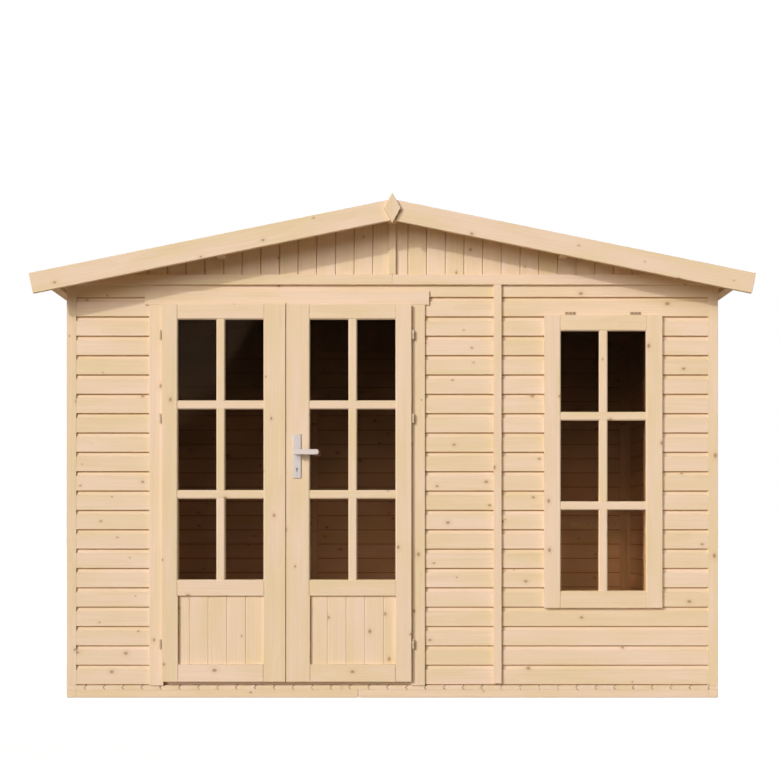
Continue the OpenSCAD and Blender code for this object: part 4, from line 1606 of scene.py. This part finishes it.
class SHED_OT_stage(bpy.types.Operator):
    """Floor, white surroundings, soft light and the camera"""

    bl_idname = "shed.stage"
    bl_label = "Stage"

    def execute(self, context):
        self.floor(context.scene.shed_colours)
        self.lights(context)
        self.camera(context)
        context.scene.view_settings.view_transform = "Standard"
        return {"FINISHED"}

    def floor(self, colours):
        """A wide plain floor that ends in a soft rim."""
        low = CAD_BOX[0]
        reach = 40.0
        slab = block("stage_floor", (-reach, -reach, low[2] - 0.05), (reach, reach, low[2] - 0.0005))
        ease(slab, 0.02, steps=2)
        material, tree, shader = new_material("stage_floor")
        cloud = calc(tree, "MULTIPLY", noise(tree, spot_of(tree), scale=0.6), 0.1)
        tint = blend(tree, cloud, tuple(colours.floor), (0.22, 0.19, 0.15, 1))
        plug(tree, shader, {"Base Color": tint, "Roughness": 0.9, "Specular IOR Level": 0.1})
        lift = calc(tree, "MULTIPLY", self.seen(tree), colours.floor_lift)
        plug(tree, shader, {"Emission Color": (0.94, 0.967, 1, 1), "Emission Strength": lift})
        dressed(slab, material)

    def seen(self, tree):
        """1 where the camera sees the surroundings straight, mirrored or through a pane."""
        path = add(tree, "LightPath")
        seen = calc(tree, "MAXIMUM", path.outputs["Is Camera Ray"], path.outputs["Is Glossy Ray"])
        return calc(tree, "MAXIMUM", seen, path.outputs["Is Transmission Ray"])

    def lights(self, context):
        """A crisp lamp and a soft one from the front left, a soft one from behind, and white fill."""
        light = context.scene.shed_light
        self.lamp("stage_lamp", light.lamp, light.lamp_way, 1.4)
        self.lamp("stage_soft_light", light.soft, light.soft_way, 42)
        self.lamp("stage_back_light", light.back, light.back_way, 30)
        world = bpy.data.worlds.new("stage_world")
        context.scene.world = world
        world.use_nodes = True
        tree = world.node_tree
        strength = scaled(tree, self.seen(tree), 1.0 - light.fill, light.fill)
        plug(tree, tree.nodes["Background"], {"Color": (1, 1, 1, 1), "Strength": strength})

    def lamp(self, name, strength, way, width):
        """A far lamp that shines along a way, as wide as the given angle in degrees."""
        bpy.ops.object.select_all(action="DESELECT")
        bpy.ops.object.light_add(type="SUN", location=(-3, -4, 4))
        lamp = bpy.context.active_object
        lamp.name = name
        lamp.data.energy = strength
        lamp.data.angle = math.radians(width)
        lamp.rotation_euler = Vector(way).to_track_quat("-Z", "Y").to_euler()

    def camera(self, context):
        """A level camera in front of the shed, with the horizon low in the picture."""
        eye, level = (0, -6.388, 0.765), (math.pi / 2, 0, 0)
        bpy.ops.object.camera_add(location=eye, rotation=level)
        camera = context.active_object
        camera.name = "stage_camera"
        camera.data.lens = 54.93
        camera.data.sensor_width = 36.0
        camera.data.shift_x = -0.003
        camera.data.shift_y = 0.1786
        camera.data.clip_end = 200.0
        context.scene.camera = camera


PIECE_OPERATORS = (
    SHED_OT_base,
    SHED_OT_walls,
    SHED_OT_gables,
    SHED_OT_trim,
    SHED_OT_roof_deck,
    SHED_OT_bargeboards,
    SHED_OT_shingles,
    SHED_OT_ridge_caps,
    SHED_OT_door_frame,
    SHED_OT_door_leaves,
    SHED_OT_window,
    SHED_OT_door_hinges,
    SHED_OT_door_handle,
    SHED_OT_window_hinges,
    SHED_OT_frame_timber,
    SHED_OT_stage,
)

SETTINGS = {
    "shed_boards": ShedBoardSizes,
    "shed_joinery": ShedJoinerySizes,
    "shed_roof": ShedRoofSizes,
    "shed_fittings": ShedFittingSizes,
    "shed_colours": ShedColours,
    "shed_light": ShedLightSettings,
}


class SHED_PT_panel(bpy.types.Panel):
    """Sizes, colours and steps of the shed's finish"""

    bl_label = "Garden shed"
    bl_idname = "SHED_PT_panel"
    bl_space_type = "VIEW_3D"
    bl_region_type = "UI"
    bl_category = "Shed"

    def draw(self, context):
        for name in SETTINGS:
            box = self.layout.box()
            group = getattr(context.scene, name)
            for key in type(group).__annotations__:
                box.prop(group, key)
        column = self.layout.column(align=True)
        for operator in PIECE_OPERATORS:
            column.operator(operator.bl_idname)


def register():
    """Registers every class and hangs the settings on the scene."""
    for name, group in SETTINGS.items():
        bpy.utils.register_class(group)
        setattr(bpy.types.Scene, name, bpy.props.PointerProperty(type=group))
    for item in (*PIECE_OPERATORS, SHED_PT_panel):
        bpy.utils.register_class(item)


def unregister():
    """Takes every class and setting away again."""
    for item in reversed((*PIECE_OPERATORS, SHED_PT_panel)):
        bpy.utils.unregister_class(item)
    for name, group in reversed(SETTINGS.items()):
        delattr(bpy.types.Scene, name)
        bpy.utils.unregister_class(group)


def main():
    """Models the whole shed."""
    register()
    bpy.ops.object.select_all(action="DESELECT")
    for operator in PIECE_OPERATORS:
        family, name = operator.bl_idname.split(".")
        getattr(getattr(bpy.ops, family), name)()


if __name__ == "__main__":
    main()
